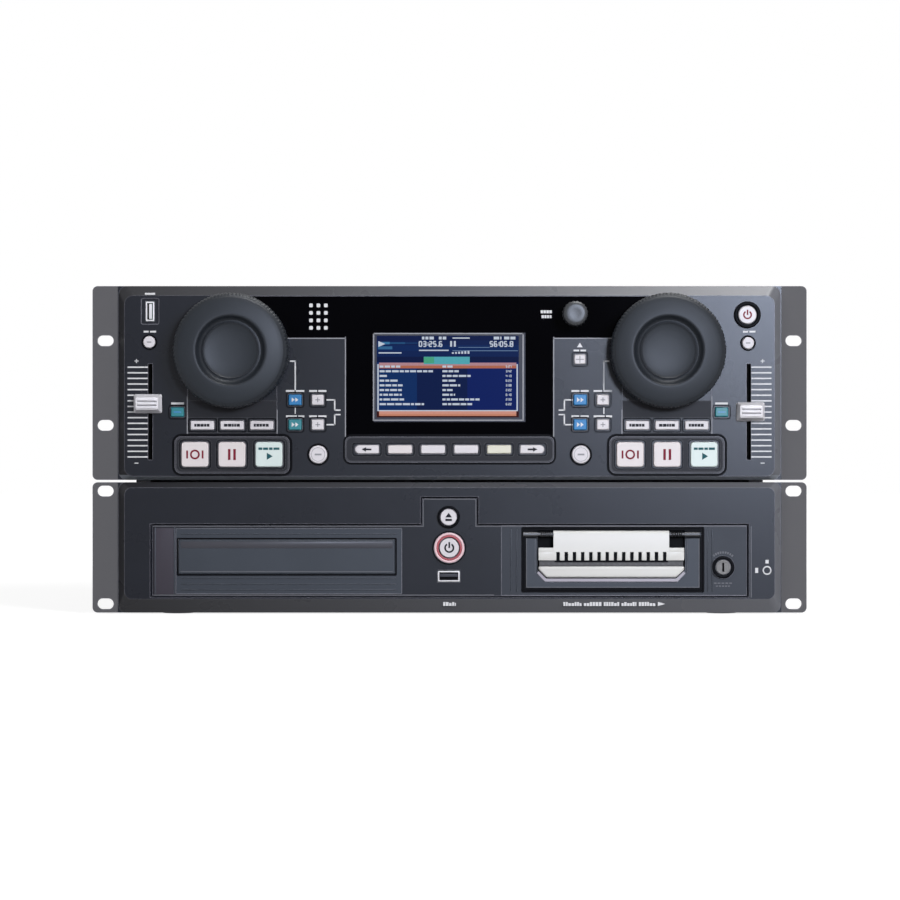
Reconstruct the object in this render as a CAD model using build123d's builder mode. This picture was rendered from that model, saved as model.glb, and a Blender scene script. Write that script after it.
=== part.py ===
from build123d import *
import os
from dataclasses import dataclass

# A two-piece rack-mounted music player: a three-unit control panel above a two-unit drive unit.
# Millimetres. +X is the viewer's right, -Y points at the viewer, +Z is up.
# The origin is on the resting surface, under the middle of the whole object.

# ------------------------------------------------------------------ rack standard
panel_width = 482.6
ear_hole_spacing_x = 465.1
ear_slot_length = 11.0
ear_slot_width = 7.2
control_hole_spacing_z = 57.15
drive_hole_spacing_z = 76.2

# ------------------------------------------------------------------ overall sizes
control_height = 131.0
drive_height = 88.1
control_z = 156.175
drive_z = 45.05
control_case_depth = 70.0
drive_depth = 300.0
socket_reach = 8.0
panel_corner = 3.5
jog_height = 22.0
face_y = -(drive_depth + socket_reach - jog_height) / 2

# ------------------------------------------------------------------ shared wall and fit values
ear_front = 6.0
ear_thickness = 3.0
ear_back = ear_front + ear_thickness
body_half_width = 223.7
face_half_width = 219.2
face_thickness = 4.0
move_gap = 0.35
shaft_gap = 0.05
sheet = 1.2
screw_head_radius, screw_head_height = 3.0, 1.6
screw_shank_radius, screw_shank_length = 1.5, 6.0
screw_hole_radius = 1.65

# ------------------------------------------------------------------ control panel layout, heights from control_z
control_face_top = 58.8
control_face_bottom = -63.0
window_top = 58.2
window_step = 30.3
window_bottom = -36.1
window_half_width = 69.8
window_arm_reach = 146.0
window_thickness = 2.0
window_sink = 0.3
screen_half_width = 51.1
screen_top = 33.7
screen_bottom = -26.3
picture_x, picture_rise = -1.2, 4.2
picture_width, picture_height = 95.8, 55.0
deck_x = {"left": -146.5, "right": 146.5}
jog_rise = 21.4
jog_radius = 38.75
dish_radius = 23.2
jog_shaft_radius = 5.0
jog_flutes = 72
wheel_recess_width, wheel_recess_height = 60.0, 59.0
wheel_recess_rise, wheel_recess_depth = -6.4, 0.6
knob_x, knob_rise, knob_radius = 84.5, 46.4, 8.8
knob_shaft_radius = 3.0
fader_x, fader_rise = 201.7, -19.5
fader_travel = 60.0
fader_slot_length, fader_slot_width = fader_travel + 4.7, 3.0
fader_track_half = fader_travel / 2 + 7.5
fader_cap_offset = {"left": (-1.5, 5.4), "right": (1.0, 0.0)}
control_usb_x, control_usb_rise = -201.9, 48.2
usb_shell_width, usb_shell_length = 5.7, 13.0
transport_rise = -48.6
transport_relief_width, transport_relief_height, transport_relief_proud = 77.5, 25.0, 1.2
soft_key_pitch, soft_key_rise = 22.25, -44.9
soft_key_relief_width, soft_key_relief_height, soft_key_relief_proud = 140.8, 17.6, 0.8
control_power_x, control_power_rise = 200.7, 45.8
power_relief_radius = 9.0
board_front = 12.0
board_thickness = 1.6

# ------------------------------------------------------------------ push button build
flange_front = face_thickness + 0.35
flange_thickness = 1.2
flange_back = flange_front + flange_thickness
flange_rim = 1.0
stem_end = 8.0
switch_front = 9.6
stem_radius = 1.6

# ------------------------------------------------------------------ control unit case, heights from control_z
case_half_width, case_half_height = 218.0, 62.0
case_wall, case_back_wall = 1.8, 2.0
case_vent_x, case_vent_rise = 150.0, 20.0
link_shroud_half_width, link_shroud_bottom, link_shroud_top = 22.0, -42.0, -24.0
link_shroud_wall = 2.5

# ------------------------------------------------------------------ drive panel layout, heights from drive_z
drive_face_top = 40.5
drive_face_bottom = -34.6
drive_face_thickness = 5.0
island_depth = 2.5
island_half_width = 201.8
island_top, island_bottom = 16.2, -33.7
tab_half_width, tab_top = 19.6, 34.4
disc_x = -108.45
disc_bezel_width, disc_bezel_height, disc_bezel_rise = 152.3, 43.8, -9.1
tray_door_width, tray_door_height, tray_door_rise = 146.3, 23.4, -6.2
tray_door_x = -109.85
disc_centre_depth = 74.0
tray_width, tray_length, tray_thickness, tray_top = 132.0, 166.0, 8.0, -1.0
disc_recess_radius = 60.8
spindle_slot_width = 40.0
disc_box_width, disc_box_length = 148.0, 182.0
disc_box_top, disc_box_bottom = 10.5, -30.6
bay_left, bay_right, bay_top, bay_bottom = 34.6, 201.0, 15.2, -32.6
cartridge_left, cartridge_right, cartridge_top, cartridge_bottom = 49.7, 170.6, 12.7, -29.0
cartridge_length = 186.0
handle_x = 109.1
handle_pivot_rise, handle_pivot_depth = 9.0, 3.0
hinge_rod_radius = 1.5
lock_x, lock_rise, lock_radius, lock_ring_radius = 184.5, -13.2, 5.0, 7.8
drive_usb_x, drive_usb_rise = -0.5, -19.3
eject_x, eject_rise = -0.6, 20.6
eject_ring_radius = 7.0
drive_power_x, drive_power_rise = -0.2, -0.1
power_ring_inner, power_ring_outer = 7.3, 10.5
button_ring_height = 1.6

# ------------------------------------------------------------------ chassis, heights from the floor
chassis_half_width = 215.0
chassis_floor = 5.5
lid_top = 86.7
main_board_z = 12.0
foot_radius, foot_taper = 12.0, 1.5
foot_x = 185.0
foot_depths = (28.0, 272.0)
strip_half_length, strip_width = 205.0, 12.0
strip_depths = (18.0, 50.0)


@dataclass
class Button:
    """A push button on a front panel: cap outline, place, how far it stands out, and the side
    (-1 left, 1 right) on which a long key ends in a half circle."""

    name: str
    x: float
    z: float
    width: float
    height: float
    corner: float
    proud: float = 2.2
    round_end: int = 0


def front_plane(depth):
    """Upright plane facing the viewer, at a depth behind the two panel faces."""
    return Plane(origin=(0, face_y + depth, 0), x_dir=(1, 0, 0), z_dir=(0, -1, 0))


def side_plane(x):
    """Upright plane facing +X, with local axes along +Y and +Z."""
    return Plane(origin=(x, 0, 0), x_dir=(0, 1, 0), z_dir=(1, 0, 0))


def finish(builder, name):
    """Label one finished piece and write it to its own file."""
    builder.part.label = name
    export_step(builder.part, f"parts/{name}.step")


def span(low, high):
    """Middle and length of a stretch."""
    return (low + high) / 2, high - low


def block(x_range, depth_range, z_range, mode=Mode.ADD):
    """A square-cornered block between two X, two depths and two heights."""
    middle_x, width = span(*x_range)
    middle_z, height = span(*z_range)
    near, far = depth_range
    with BuildSketch(front_plane(far)) as outline:
        with Locations((middle_x, middle_z)):
            Rectangle(width, height)
    extrude(outline.sketch, amount=far - near, mode=mode)


def disc(x, depth_range, z, radius, mode=Mode.ADD):
    """A round bar or hole lying along Y."""
    near, far = depth_range
    with BuildSketch(front_plane(far)) as outline:
        with Locations((x, z)):
            Circle(radius)
    extrude(outline.sketch, amount=far - near, mode=mode)


def button_outline(button, margin=0.0):
    """The cap's outline, or an opening or flange that is larger by a margin."""
    width, height = button.width + 2 * margin, button.height + 2 * margin
    if button.round_end:
        with Locations((button.x, button.z)):
            SlotOverall(width, height)
        with Locations((button.x - button.round_end * width / 4, button.z)):
            RectangleRounded(width / 2, height, button.corner + margin)
        return
    with Locations((button.x, button.z)):
        if button.corner * 2 >= button.width:
            Circle(width / 2)
        else:
            RectangleRounded(width, height, button.corner + margin)


# ------------------------------------------------------------------ button lists
def list_control_buttons():
    """Every push button of the control panel, with heights from the floor."""
    buttons = []
    for side, sign in (("left", -1), ("right", 1)):
        middle = deck_x[side]
        for name, step in (("cue", -24.9), ("pause", 0.0), ("play", 24.9)):
            buttons.append(Button(f"{name}_button_{side}", middle + step, -48.3, 18.2, 16.8, 2.2, 3.4))
        for number, step in enumerate((-20.0, 0.0, 20.0), start=1):
            buttons.append(Button(f"loop_button_{side}_{number}", middle + step, -28.6, 15.8, 6.0, 0.8, 1.8))
        blue_x = -104.1 if side == "left" else 88.0
        white_x = -88.8 if side == "left" else 103.3
        for row, rise in (("upper", -11.5), ("lower", -28.2)):
            buttons.append(Button(f"blue_button_{side}_{row}", blue_x, rise, 8.8, 7.2, 0.7, 1.8))
            buttons.append(Button(f"white_button_{side}_{row}", white_x, rise, 8.1, 6.9, 0.7, 1.8))
        buttons.append(Button(f"round_button_{side}", sign * 88.5, -48.3, 12.1, 12.1, 6.05, 2.6))
        buttons.append(Button(f"pitch_button_{side}", sign * 183.3, -19.7, 8.8, 6.3, 0.7, 1.8))
    buttons.append(Button("corner_button_left", -202.3, 27.4, 8.0, 8.0, 4.0, 2.0))
    buttons.append(Button("corner_button_right", 201.1, 26.8, 8.0, 8.0, 4.0, 2.0))
    buttons.append(Button("square_button", 87.8, 15.8, 7.5, 6.4, 0.7, 1.8))
    buttons.append(Button("control_power_button", control_power_x, control_power_rise, 12.2, 12.2, 6.1, 1.6))
    for number, round_end in enumerate((-1, 0, 0, 0, 0, 1)):
        x = (number - 2.5) * soft_key_pitch
        buttons.append(Button(f"soft_key_{number + 1}", x, soft_key_rise, 16.2, 5.7, 0.9, 2.2, round_end))
    for button in buttons:
        button.z += control_z
    return buttons


def list_drive_buttons():
    """The push buttons of the drive panel, with heights from the floor."""
    eject = Button("eject_button", eject_x, drive_z + eject_rise, 10.8, 10.8, 5.4, -0.4)
    power = Button("drive_power_button", drive_power_x, drive_z + drive_power_rise, 13.0, 13.0, 6.5, 0.6)
    return [eject, power]


control_buttons = list_control_buttons()
drive_buttons = list_drive_buttons()


def make_push_button(button, plate_back):
    """Cap, retaining flange behind the plate and stem that reaches the switch."""
    shift = plate_back - face_thickness
    with BuildPart() as piece:
        with BuildSketch(front_plane(flange_front + shift)):
            button_outline(button)
        extrude(amount=flange_front + shift + button.proud)
        edge_round = min(0.8, button.proud * 0.35 + 0.25)
        fillet(piece.faces().sort_by(Axis.Y)[0].edges(), radius=edge_round)
        with BuildSketch(front_plane(flange_back + shift)):
            button_outline(button, flange_rim)
        extrude(amount=flange_thickness)
        disc(button.x, (flange_back + shift, stem_end + shift), button.z, stem_radius)
    finish(piece, button.name)


# ------------------------------------------------------------------ control unit
def make_control_front_panel():
    """Bevelled front with rack ears, window pocket, reliefs, button openings and board posts."""
    with BuildPart() as panel:
        with BuildSketch(front_plane(ear_back)):
            with Locations((0, control_z)):
                RectangleRounded(panel_width, control_height, panel_corner)
        extrude(amount=ear_thickness)
        face_middle, face_height = span(control_face_bottom, control_face_top)
        with BuildSketch(front_plane(ear_front)):
            with Locations((0, control_z)):
                RectangleRounded(2 * body_half_width, control_height, 6.0)
        with BuildSketch(front_plane(0)):
            with Locations((0, control_z + face_middle)):
                RectangleRounded(2 * face_half_width, face_height, 6.0)
        loft(ruled=True)
        block((-216, 216), (face_thickness, ear_back), (control_z - 59, control_z + 57), Mode.SUBTRACT)

        with BuildSketch(front_plane(0)):
            for middle in deck_x.values():
                with Locations((middle, control_z + transport_rise)):
                    RectangleRounded(transport_relief_width, transport_relief_height, 4.5)
        extrude(amount=transport_relief_proud)
        with BuildSketch(front_plane(0)):
            with Locations((0, control_z + soft_key_rise)):
                RectangleRounded(soft_key_relief_width, soft_key_relief_height, 4.0)
            with Locations((control_power_x, control_z + control_power_rise)):
                Circle(power_relief_radius)
        extrude(amount=soft_key_relief_proud)
        with BuildSketch(front_plane(wheel_recess_depth)):
            for middle in deck_x.values():
                with Locations((middle, control_z + wheel_recess_rise)):
                    Rectangle(wheel_recess_width, wheel_recess_height)
        extrude(amount=wheel_recess_depth, mode=Mode.SUBTRACT)

        with BuildSketch(front_plane(window_thickness + window_sink)):
            window_outline(0.15)
        extrude(amount=window_thickness + window_sink + 2, mode=Mode.SUBTRACT)
        with BuildSketch(front_plane(1.0)):
            with Locations((control_usb_x, control_z + control_usb_rise)):
                RectangleRounded(usb_shell_width + 6.1, usb_shell_length + 4.3, 1.0)
        extrude(amount=1.0, mode=Mode.SUBTRACT)

        with BuildSketch(front_plane(ear_back)):
            with GridLocations(ear_hole_spacing_x, control_hole_spacing_z, 2, 2):
                with Locations((0, control_z)):
                    SlotOverall(ear_slot_length, ear_slot_width)
        extrude(amount=ear_thickness, mode=Mode.SUBTRACT)

        with BuildSketch(front_plane(face_thickness)):
            for button in control_buttons:
                button_outline(button, move_gap)
            screen_middle, screen_height = span(screen_bottom, screen_top)
            with Locations((0, control_z + screen_middle)):
                Rectangle(2 * screen_half_width, screen_height)
            with Locations((control_usb_x, control_z + control_usb_rise)):
                Rectangle(usb_shell_width + 0.4, usb_shell_length + 0.4)
            for middle in deck_x.values():
                with Locations((middle, control_z + jog_rise)):
                    Circle(jog_shaft_radius + shaft_gap)
            with Locations((knob_x, control_z + knob_rise)):
                Circle(knob_shaft_radius + shaft_gap)
            for x in (-fader_x, fader_x):
                with Locations((x, control_z + fader_rise)):
                    Rectangle(fader_slot_width, fader_slot_length)
        extrude(amount=face_thickness + 2, mode=Mode.SUBTRACT)

        with BuildSketch(front_plane(board_front)):
            for x in (-188, -65, 65, 188):
                for rise in (-57, 53):
                    with Locations((x, control_z + rise)):
                        Circle(2.4)
        extrude(amount=board_front - face_thickness)
    finish(panel, "control_front_panel")


def window_outline(margin=0.0):
    """The window's T shape: a block round the screen with an arm out to each jog wheel."""
    middle_z, height = span(window_bottom, window_top)
    with Locations((0, control_z + middle_z)):
        Rectangle(2 * window_half_width + 2 * margin, height + 2 * margin)
    arm_z, arm_height = span(window_step, window_top)
    with Locations((0, control_z + arm_z)):
        Rectangle(2 * window_arm_reach + 2 * margin, arm_height + 2 * margin)


def make_display_window():
    """Black window pane with an opening for the screen and a hole for the knob's shaft."""
    with BuildPart() as pane:
        with BuildSketch(front_plane(window_thickness + window_sink)):
            window_outline()
            screen_middle, screen_height = span(screen_bottom, screen_top)
            with Locations((0, control_z + screen_middle)):
                Rectangle(2 * screen_half_width, screen_height, mode=Mode.SUBTRACT)
            with Locations((knob_x, control_z + knob_rise)):
                Circle(knob_shaft_radius + 0.6, mode=Mode.SUBTRACT)
        extrude(amount=window_thickness)
    finish(pane, "display_window")


def make_display_screen():
    """Screen module: its frame fills the window's opening and its back rests on the panel."""
    middle, height = span(screen_bottom, screen_top)
    bottom, top = control_z + screen_bottom, control_z + screen_top
    with BuildPart() as screen:
        block((-screen_half_width, screen_half_width), (0.5, face_thickness), (bottom, top))
        with BuildSketch(front_plane(0.9)):
            with Locations((picture_x, control_z + picture_rise)):
                Rectangle(picture_width, picture_height)
        extrude(amount=0.4, mode=Mode.SUBTRACT)
        block((-56, 56), (face_thickness, 10.0), (bottom - 4, top + 4))
    finish(screen, "display_screen")


def make_jog_wheel(side):
    """Heavy fluted wheel with a hollow finger dish, on a stub shaft held by a ring behind the panel."""
    centre = Plane(
        origin=(deck_x[side], face_y, control_z + jog_rise), x_dir=(1, 0, 0), z_dir=(0, -1, 0)
    )
    with BuildPart() as wheel:
        with BuildSketch(Plane(origin=centre.origin, x_dir=(1, 0, 0), z_dir=(0, 0, 1))):
            with BuildLine():
                Polyline(
                    (0, -16.2),
                    (7.0, -16.3),
                    (13.0, -16.8),
                    (18.5, -17.9),
                    (20.6, -17.8),
                    (dish_radius - 1.0, -19.8),
                    (dish_radius - 0.2, -21.6),
                    (dish_radius + 0.9, -jog_height),
                    (26.5, -21.8),
                    (34.6, -20.3),
                    (37.2, -19.0),
                    (jog_radius, -16.4),
                    (jog_radius, -4.2),
                    (jog_radius - 2.2, -0.8),
                    (jog_shaft_radius, -0.8),
                    (jog_shaft_radius, 9.0),
                    (0, 9.0),
                    (0, -16.2),
                )
            make_face()
        revolve(axis=Axis((deck_x[side], face_y, control_z + jog_rise), (0, -1, 0)))
        with BuildSketch(centre.offset(3.5)):
            with PolarLocations(jog_radius + 0.75, jog_flutes):
                Circle(1.25)
        extrude(amount=15.0, mode=Mode.SUBTRACT)
        disc(deck_x[side], (face_thickness + 0.5, 7.0), control_z + jog_rise, jog_shaft_radius + 3.0)
    finish(wheel, f"jog_wheel_{side}")


def make_browse_knob():
    """Turning knob with a fluted skirt and a shaft to its encoder."""
    z = control_z + knob_rise
    with BuildPart() as knob:
        disc(knob_x, (-13.0, -0.2), z, knob_radius)
        chamfer(knob.faces().sort_by(Axis.Y)[0].edges(), length=1.2)
        with BuildSketch(front_plane(-2.5)):
            with Locations((knob_x, z)):
                with PolarLocations(knob_radius + 0.35, 24):
                    Circle(0.7)
        extrude(amount=8.5, mode=Mode.SUBTRACT)
        disc(knob_x, (-0.2, 9.0), z, knob_shaft_radius)
        disc(knob_x, (face_thickness + 0.5, 6.0), z, knob_shaft_radius + 2.0)
    finish(knob, "browse_knob")


def make_pitch_fader(side):
    """Fader cap with a finger hollow, its lever through the slot and the carriage behind."""
    sign = -1 if side == "left" else 1
    shift_x, shift_z = fader_cap_offset[side]
    lever_x = sign * fader_x
    cap_x = lever_x + shift_x
    cap_z = control_z + fader_rise + shift_z
    with BuildPart() as fader:
        with BuildSketch(front_plane(-1.0)):
            with Locations((cap_x, cap_z)):
                RectangleRounded(19.1, 12.9, 1.2)
        with BuildSketch(front_plane(-10.5)):
            with Locations((cap_x, cap_z)):
                RectangleRounded(16.6, 9.6, 1.2)
        loft(ruled=True)
        with BuildSketch(side_plane(cap_x - 12)):
            with Locations((face_y - 15.2, cap_z)):
                Circle(6.2)
        extrude(amount=24.0, mode=Mode.SUBTRACT)
        with BuildSketch(side_plane(cap_x - 8.3)):
            with Locations((face_y - 9.3, cap_z)):
                Rectangle(1.0, 0.8)
        extrude(amount=16.6)
        block((lever_x - 1.1, lever_x + 1.1), (-1.0, 6.0), (cap_z - 2.0, cap_z + 2.0))
        block((lever_x - 2.3, lever_x + 2.3), (6.0, 10.2), (cap_z - 4.0, cap_z + 4.0))
    finish(fader, f"pitch_fader_{side}")


def make_control_board():
    """Populated board: switches, encoders, both fader tracks and the front USB socket."""
    low, high = control_z - 58.5, control_z + 55.5
    with BuildPart() as board:
        block((-212, 212), (board_front, board_front + board_thickness), (low, high))
        with BuildSketch(front_plane(board_front)):
            for button in control_buttons:
                with Locations((button.x, button.z)):
                    Rectangle(6.0, min(6.0, button.height))
        extrude(amount=board_front - switch_front)
        for middle in deck_x.values():
            disc(middle, (switch_front, board_front), control_z + jog_rise, 11.0)
        disc(knob_x, (switch_front, board_front), control_z + knob_rise, 6.5)
        for x in (-fader_x, fader_x):
            track_low = control_z + fader_rise - fader_track_half
            track_high = control_z + fader_rise + fader_track_half
            block((x - 4.6, x + 4.6), (5.4, board_front), (track_low, track_high))
            block((x - 2.7, x + 2.7), (5.4, 10.6), (track_low + 2.5, track_high - 2.5), Mode.SUBTRACT)
        usb_z = control_z + control_usb_rise
        make_usb_shell(control_usb_x, usb_z, usb_shell_width, usb_shell_length, (0.4, board_front))
    finish(board, "control_board")


def make_usb_shell(x, z, width, height, depth_range):
    """Metal shell of a USB socket with the contact tongue inside, open to the front."""
    near, far = depth_range
    wall = 0.45
    block((x - width / 2, x + width / 2), depth_range, (z - height / 2, z + height / 2))
    block(
        (x - width / 2 + wall, x + width / 2 - wall),
        (near, far - 1.5),
        (z - height / 2 + wall, z + height / 2 - wall),
        Mode.SUBTRACT,
    )
    if height > width:
        tongue_x = (x - 0.3, x + 1.5)
        tongue_z = (z - height / 2 + 1.2, z + height / 2 - 1.2)
    else:
        tongue_x = (x - width / 2 + 1.2, x + width / 2 - 1.2)
        tongue_z = (z - 0.3, z + 1.5)
    block(tongue_x, (near + 1.2, far), tongue_z)


def make_control_rear_case():
    """Folded steel box behind the control panel, with vents and the link socket's shroud."""
    back = control_case_depth
    low, high = control_z - case_half_height, control_z + case_half_height
    inner_half = case_half_width - case_wall
    shroud_low, shroud_high = control_z + link_shroud_bottom, control_z + link_shroud_top
    socket_half = link_shroud_half_width - link_shroud_wall
    socket_low, socket_high = shroud_low + link_shroud_wall, shroud_high - link_shroud_wall
    with BuildPart() as case:
        block((-case_half_width, case_half_width), (ear_back, back), (low, high))
        fillet(case.edges().filter_by(Axis.Y), radius=2.5)
        block(
            (-inner_half, inner_half),
            (ear_back, back - case_back_wall),
            (low + case_wall, high - case_wall),
            Mode.SUBTRACT,
        )
        with BuildSketch(front_plane(back)):
            for x in (-case_vent_x, case_vent_x):
                with Locations((x, control_z + case_vent_rise)):
                    with GridLocations(7.0, 1.0, 11, 1):
                        SlotOverall(30.0, 3.0, rotation=90)
            for x, z in case_screw_places():
                with Locations((x, z)):
                    Circle(screw_hole_radius)
        extrude(amount=case_back_wall, mode=Mode.SUBTRACT)
        block(
            (-link_shroud_half_width, link_shroud_half_width),
            (back - 12, back + 3),
            (shroud_low, shroud_high),
        )
        block((-socket_half, socket_half), (back - 10, back + 3), (socket_low, socket_high), Mode.SUBTRACT)
        block((-16, 16), (back - 10, back + 1), (control_z - 34.5, control_z - 31.5))
    finish(case, "control_rear_case")


def case_screw_places():
    """Centres of the four screws in the back of the control unit."""
    return [(x, control_z + rise) for x in (-205, 205) for rise in (-50, 50)]


# ------------------------------------------------------------------ drive unit
def island_outline(margin=0.0):
    """Outline of the sunken field round both drives, with its raised middle tab."""
    middle_z, height = span(island_bottom, island_top)
    with Locations((0, drive_z + middle_z)):
        Rectangle(2 * island_half_width - 2 * margin, height - 2 * margin)
    tab_z, tab_height = span(island_bottom, tab_top)
    with Locations((0, drive_z + tab_z)):
        Rectangle(2 * tab_half_width - 2 * margin, tab_height - 2 * margin)


def make_drive_front_panel():
    """Bevelled front with rack ears, the sunken island and the openings for both drives."""
    face_middle, face_height = span(drive_face_bottom, drive_face_top)
    with BuildPart() as panel:
        with BuildSketch(front_plane(ear_back)):
            with Locations((0, drive_z)):
                RectangleRounded(panel_width, drive_height, panel_corner)
        extrude(amount=ear_thickness)
        with BuildSketch(front_plane(ear_front)):
            with Locations((0, drive_z)):
                RectangleRounded(2 * body_half_width, drive_height, 5.0)
        with BuildSketch(front_plane(0)):
            with Locations((0, drive_z + face_middle)):
                RectangleRounded(2 * face_half_width, face_height, 5.0)
        loft(ruled=True)
        block(
            (-214, 214),
            (drive_face_thickness, ear_back),
            (drive_z - 35, drive_z + 38),
            Mode.SUBTRACT,
        )
        with BuildSketch(front_plane(island_depth)):
            island_outline(1.2)
        with BuildSketch(front_plane(0)):
            island_outline(0.0)
        loft(ruled=True, mode=Mode.SUBTRACT)
        with BuildSketch(front_plane(drive_face_thickness)):
            for button in drive_buttons:
                button_outline(button, move_gap)
            with Locations((disc_x, drive_z + disc_bezel_rise)):
                Rectangle(disc_bezel_width, disc_bezel_height)
            bay_x, bay_width = span(bay_left, bay_right)
            bay_z, bay_height = span(bay_bottom, bay_top)
            with Locations((bay_x, drive_z + bay_z)):
                Rectangle(bay_width - 1.0, bay_height - 1.0)
            with Locations((drive_usb_x, drive_z + drive_usb_rise)):
                Rectangle(15.1, 8.1)
        extrude(amount=drive_face_thickness + 2, mode=Mode.SUBTRACT)
        with BuildSketch(front_plane(island_depth)):
            with Locations((drive_power_x, drive_z + drive_power_rise)):
                Circle(power_ring_outer)
                Circle(power_ring_inner, mode=Mode.SUBTRACT)
            with Locations((eject_x, drive_z + eject_rise)):
                Circle(eject_ring_radius)
                Circle(5.4 + move_gap, mode=Mode.SUBTRACT)
        extrude(amount=button_ring_height)
        with BuildSketch(front_plane(ear_back)):
            with GridLocations(ear_hole_spacing_x, drive_hole_spacing_z, 2, 2):
                with Locations((0, drive_z)):
                    SlotOverall(ear_slot_length, ear_slot_width)
        extrude(amount=ear_thickness, mode=Mode.SUBTRACT)
    finish(panel, "drive_front_panel")


def make_drive_chassis():
    """Folded steel tray: floor, sides and back, with rails for the drives and board standoffs."""
    floor_top = chassis_floor + sheet
    wall_top = lid_top - sheet
    outer = chassis_half_width
    back = drive_depth
    with BuildPart() as chassis:
        block((-outer, outer), (ear_back, back), (chassis_floor, wall_top))
        block((-outer + sheet, outer - sheet), (ear_back, back - sheet), (floor_top, wall_top), Mode.SUBTRACT)
        with BuildSketch(front_plane(back)):
            with Locations((120, 60)):
                with GridLocations(6.0, 1.0, 16, 1):
                    SlotOverall(28.0, 2.6, rotation=90)
            for x, z, width, height in rear_openings():
                with Locations((x, z)):
                    Rectangle(width, height)
        extrude(amount=sheet, mode=Mode.SUBTRACT)
        with BuildSketch(side_plane(-outer)):
            for depth in vent_depths():
                with Locations((face_y + depth, 48)):
                    SlotOverall(34.0, 3.0, rotation=90)
            for depth in lid_screw_depths():
                with Locations((face_y + depth, lid_top - 7)):
                    Circle(screw_hole_radius)
        extrude(amount=2 * outer, mode=Mode.SUBTRACT)
        disc_rail_top = drive_z + disc_box_bottom
        for x in (disc_x - 60, disc_x + 60):
            block((x - 5, x + 5), (40, 170), (floor_top, disc_rail_top))
        bay_rail_top = drive_z + bay_bottom + 0.5
        for x in (60, 175):
            block((x - 5, x + 5), (40, 170), (floor_top, bay_rail_top))
        for x, depth in board_standoffs():
            with BuildSketch(Plane.XY.offset(floor_top)):
                with Locations((x, face_y + depth)):
                    Circle(3.0)
            extrude(amount=main_board_z - floor_top)
    finish(chassis, "drive_chassis")


def vent_depths():
    """Depths of the upright vents in each side of the drive unit."""
    return [120 + 9 * number for number in range(12)]


def lid_screw_depths():
    """Depths of the three lid screws in each side."""
    return (40, 150, 270)


def board_standoffs():
    """X and depth of the main board's standoffs."""
    return [(0, 40), (0, 120), (-20, 235), (180, 235), (-20, 285), (180, 285)]


def rear_openings():
    """Openings in the back of the drive unit: x, z, width and height."""
    audio = [(x, 26.0, 40.0, 20.0) for x in (20.0, 66.0)]
    links = [(110.0, 23.0, 18.0, 16.0), (140.0, 23.0, 18.0, 16.0)]
    inlet = [(-130.0, 34.0, 27.6, 20.6)]
    return audio + links + inlet


def make_drive_top_cover():
    """Steel lid with two folded flanges outside the chassis sides."""
    flange_out = chassis_half_width + sheet
    with BuildPart() as lid:
        block((-flange_out, flange_out), (ear_back, drive_depth), (lid_top - sheet, lid_top))
        for sign in (-1, 1):
            inner, outer = sorted((sign * chassis_half_width, sign * flange_out))
            block((inner, outer), (ear_back, drive_depth), (lid_top - 14, lid_top - sheet))
        with BuildSketch(side_plane(-flange_out)):
            for depth in lid_screw_depths():
                with Locations((face_y + depth, lid_top - 7)):
                    Circle(screw_hole_radius)
        extrude(amount=2 * flange_out, mode=Mode.SUBTRACT)
    finish(lid, "drive_top_cover")


def make_screws():
    """Six lid screws and four screws in the back of the control unit, all alike."""
    with BuildPart() as screws:
        for sign in (-1, 1):
            plane = Plane(
                origin=(sign * (chassis_half_width + sheet), face_y, 0),
                x_dir=(0, 1, 0),
                z_dir=(sign, 0, 0),
            )
            height = (lid_top - 7) * sign
            for depth in lid_screw_depths():
                with BuildSketch(plane):
                    with Locations((depth, height)):
                        Circle(screw_head_radius)
                extrude(amount=screw_head_height)
                with BuildSketch(plane):
                    with Locations((depth, height)):
                        Circle(screw_shank_radius)
                extrude(amount=-screw_shank_length)
        back = control_case_depth
        for x, z in case_screw_places():
            disc(x, (back, back + screw_head_height), z, screw_head_radius)
            disc(x, (back - screw_shank_length, back), z, screw_shank_radius)
    finish(screws, "screws")


def make_rubber_feet():
    """Four feet under the drive unit and two long strips that carry the control unit on its lid."""
    with BuildPart() as feet:
        for x in (-foot_x, foot_x):
            for depth in foot_depths:
                with BuildSketch(Plane.XY):
                    with Locations((x, face_y + depth)):
                        Circle(foot_radius - foot_taper)
                with BuildSketch(Plane.XY.offset(chassis_floor)):
                    with Locations((x, face_y + depth)):
                        Circle(foot_radius)
                loft(ruled=True)
        strip_top = control_z - case_half_height
        for depth in strip_depths:
            block((-strip_half_length, strip_half_length), (depth, depth + strip_width), (lid_top, strip_top))
    finish(feet, "rubber_feet")


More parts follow.
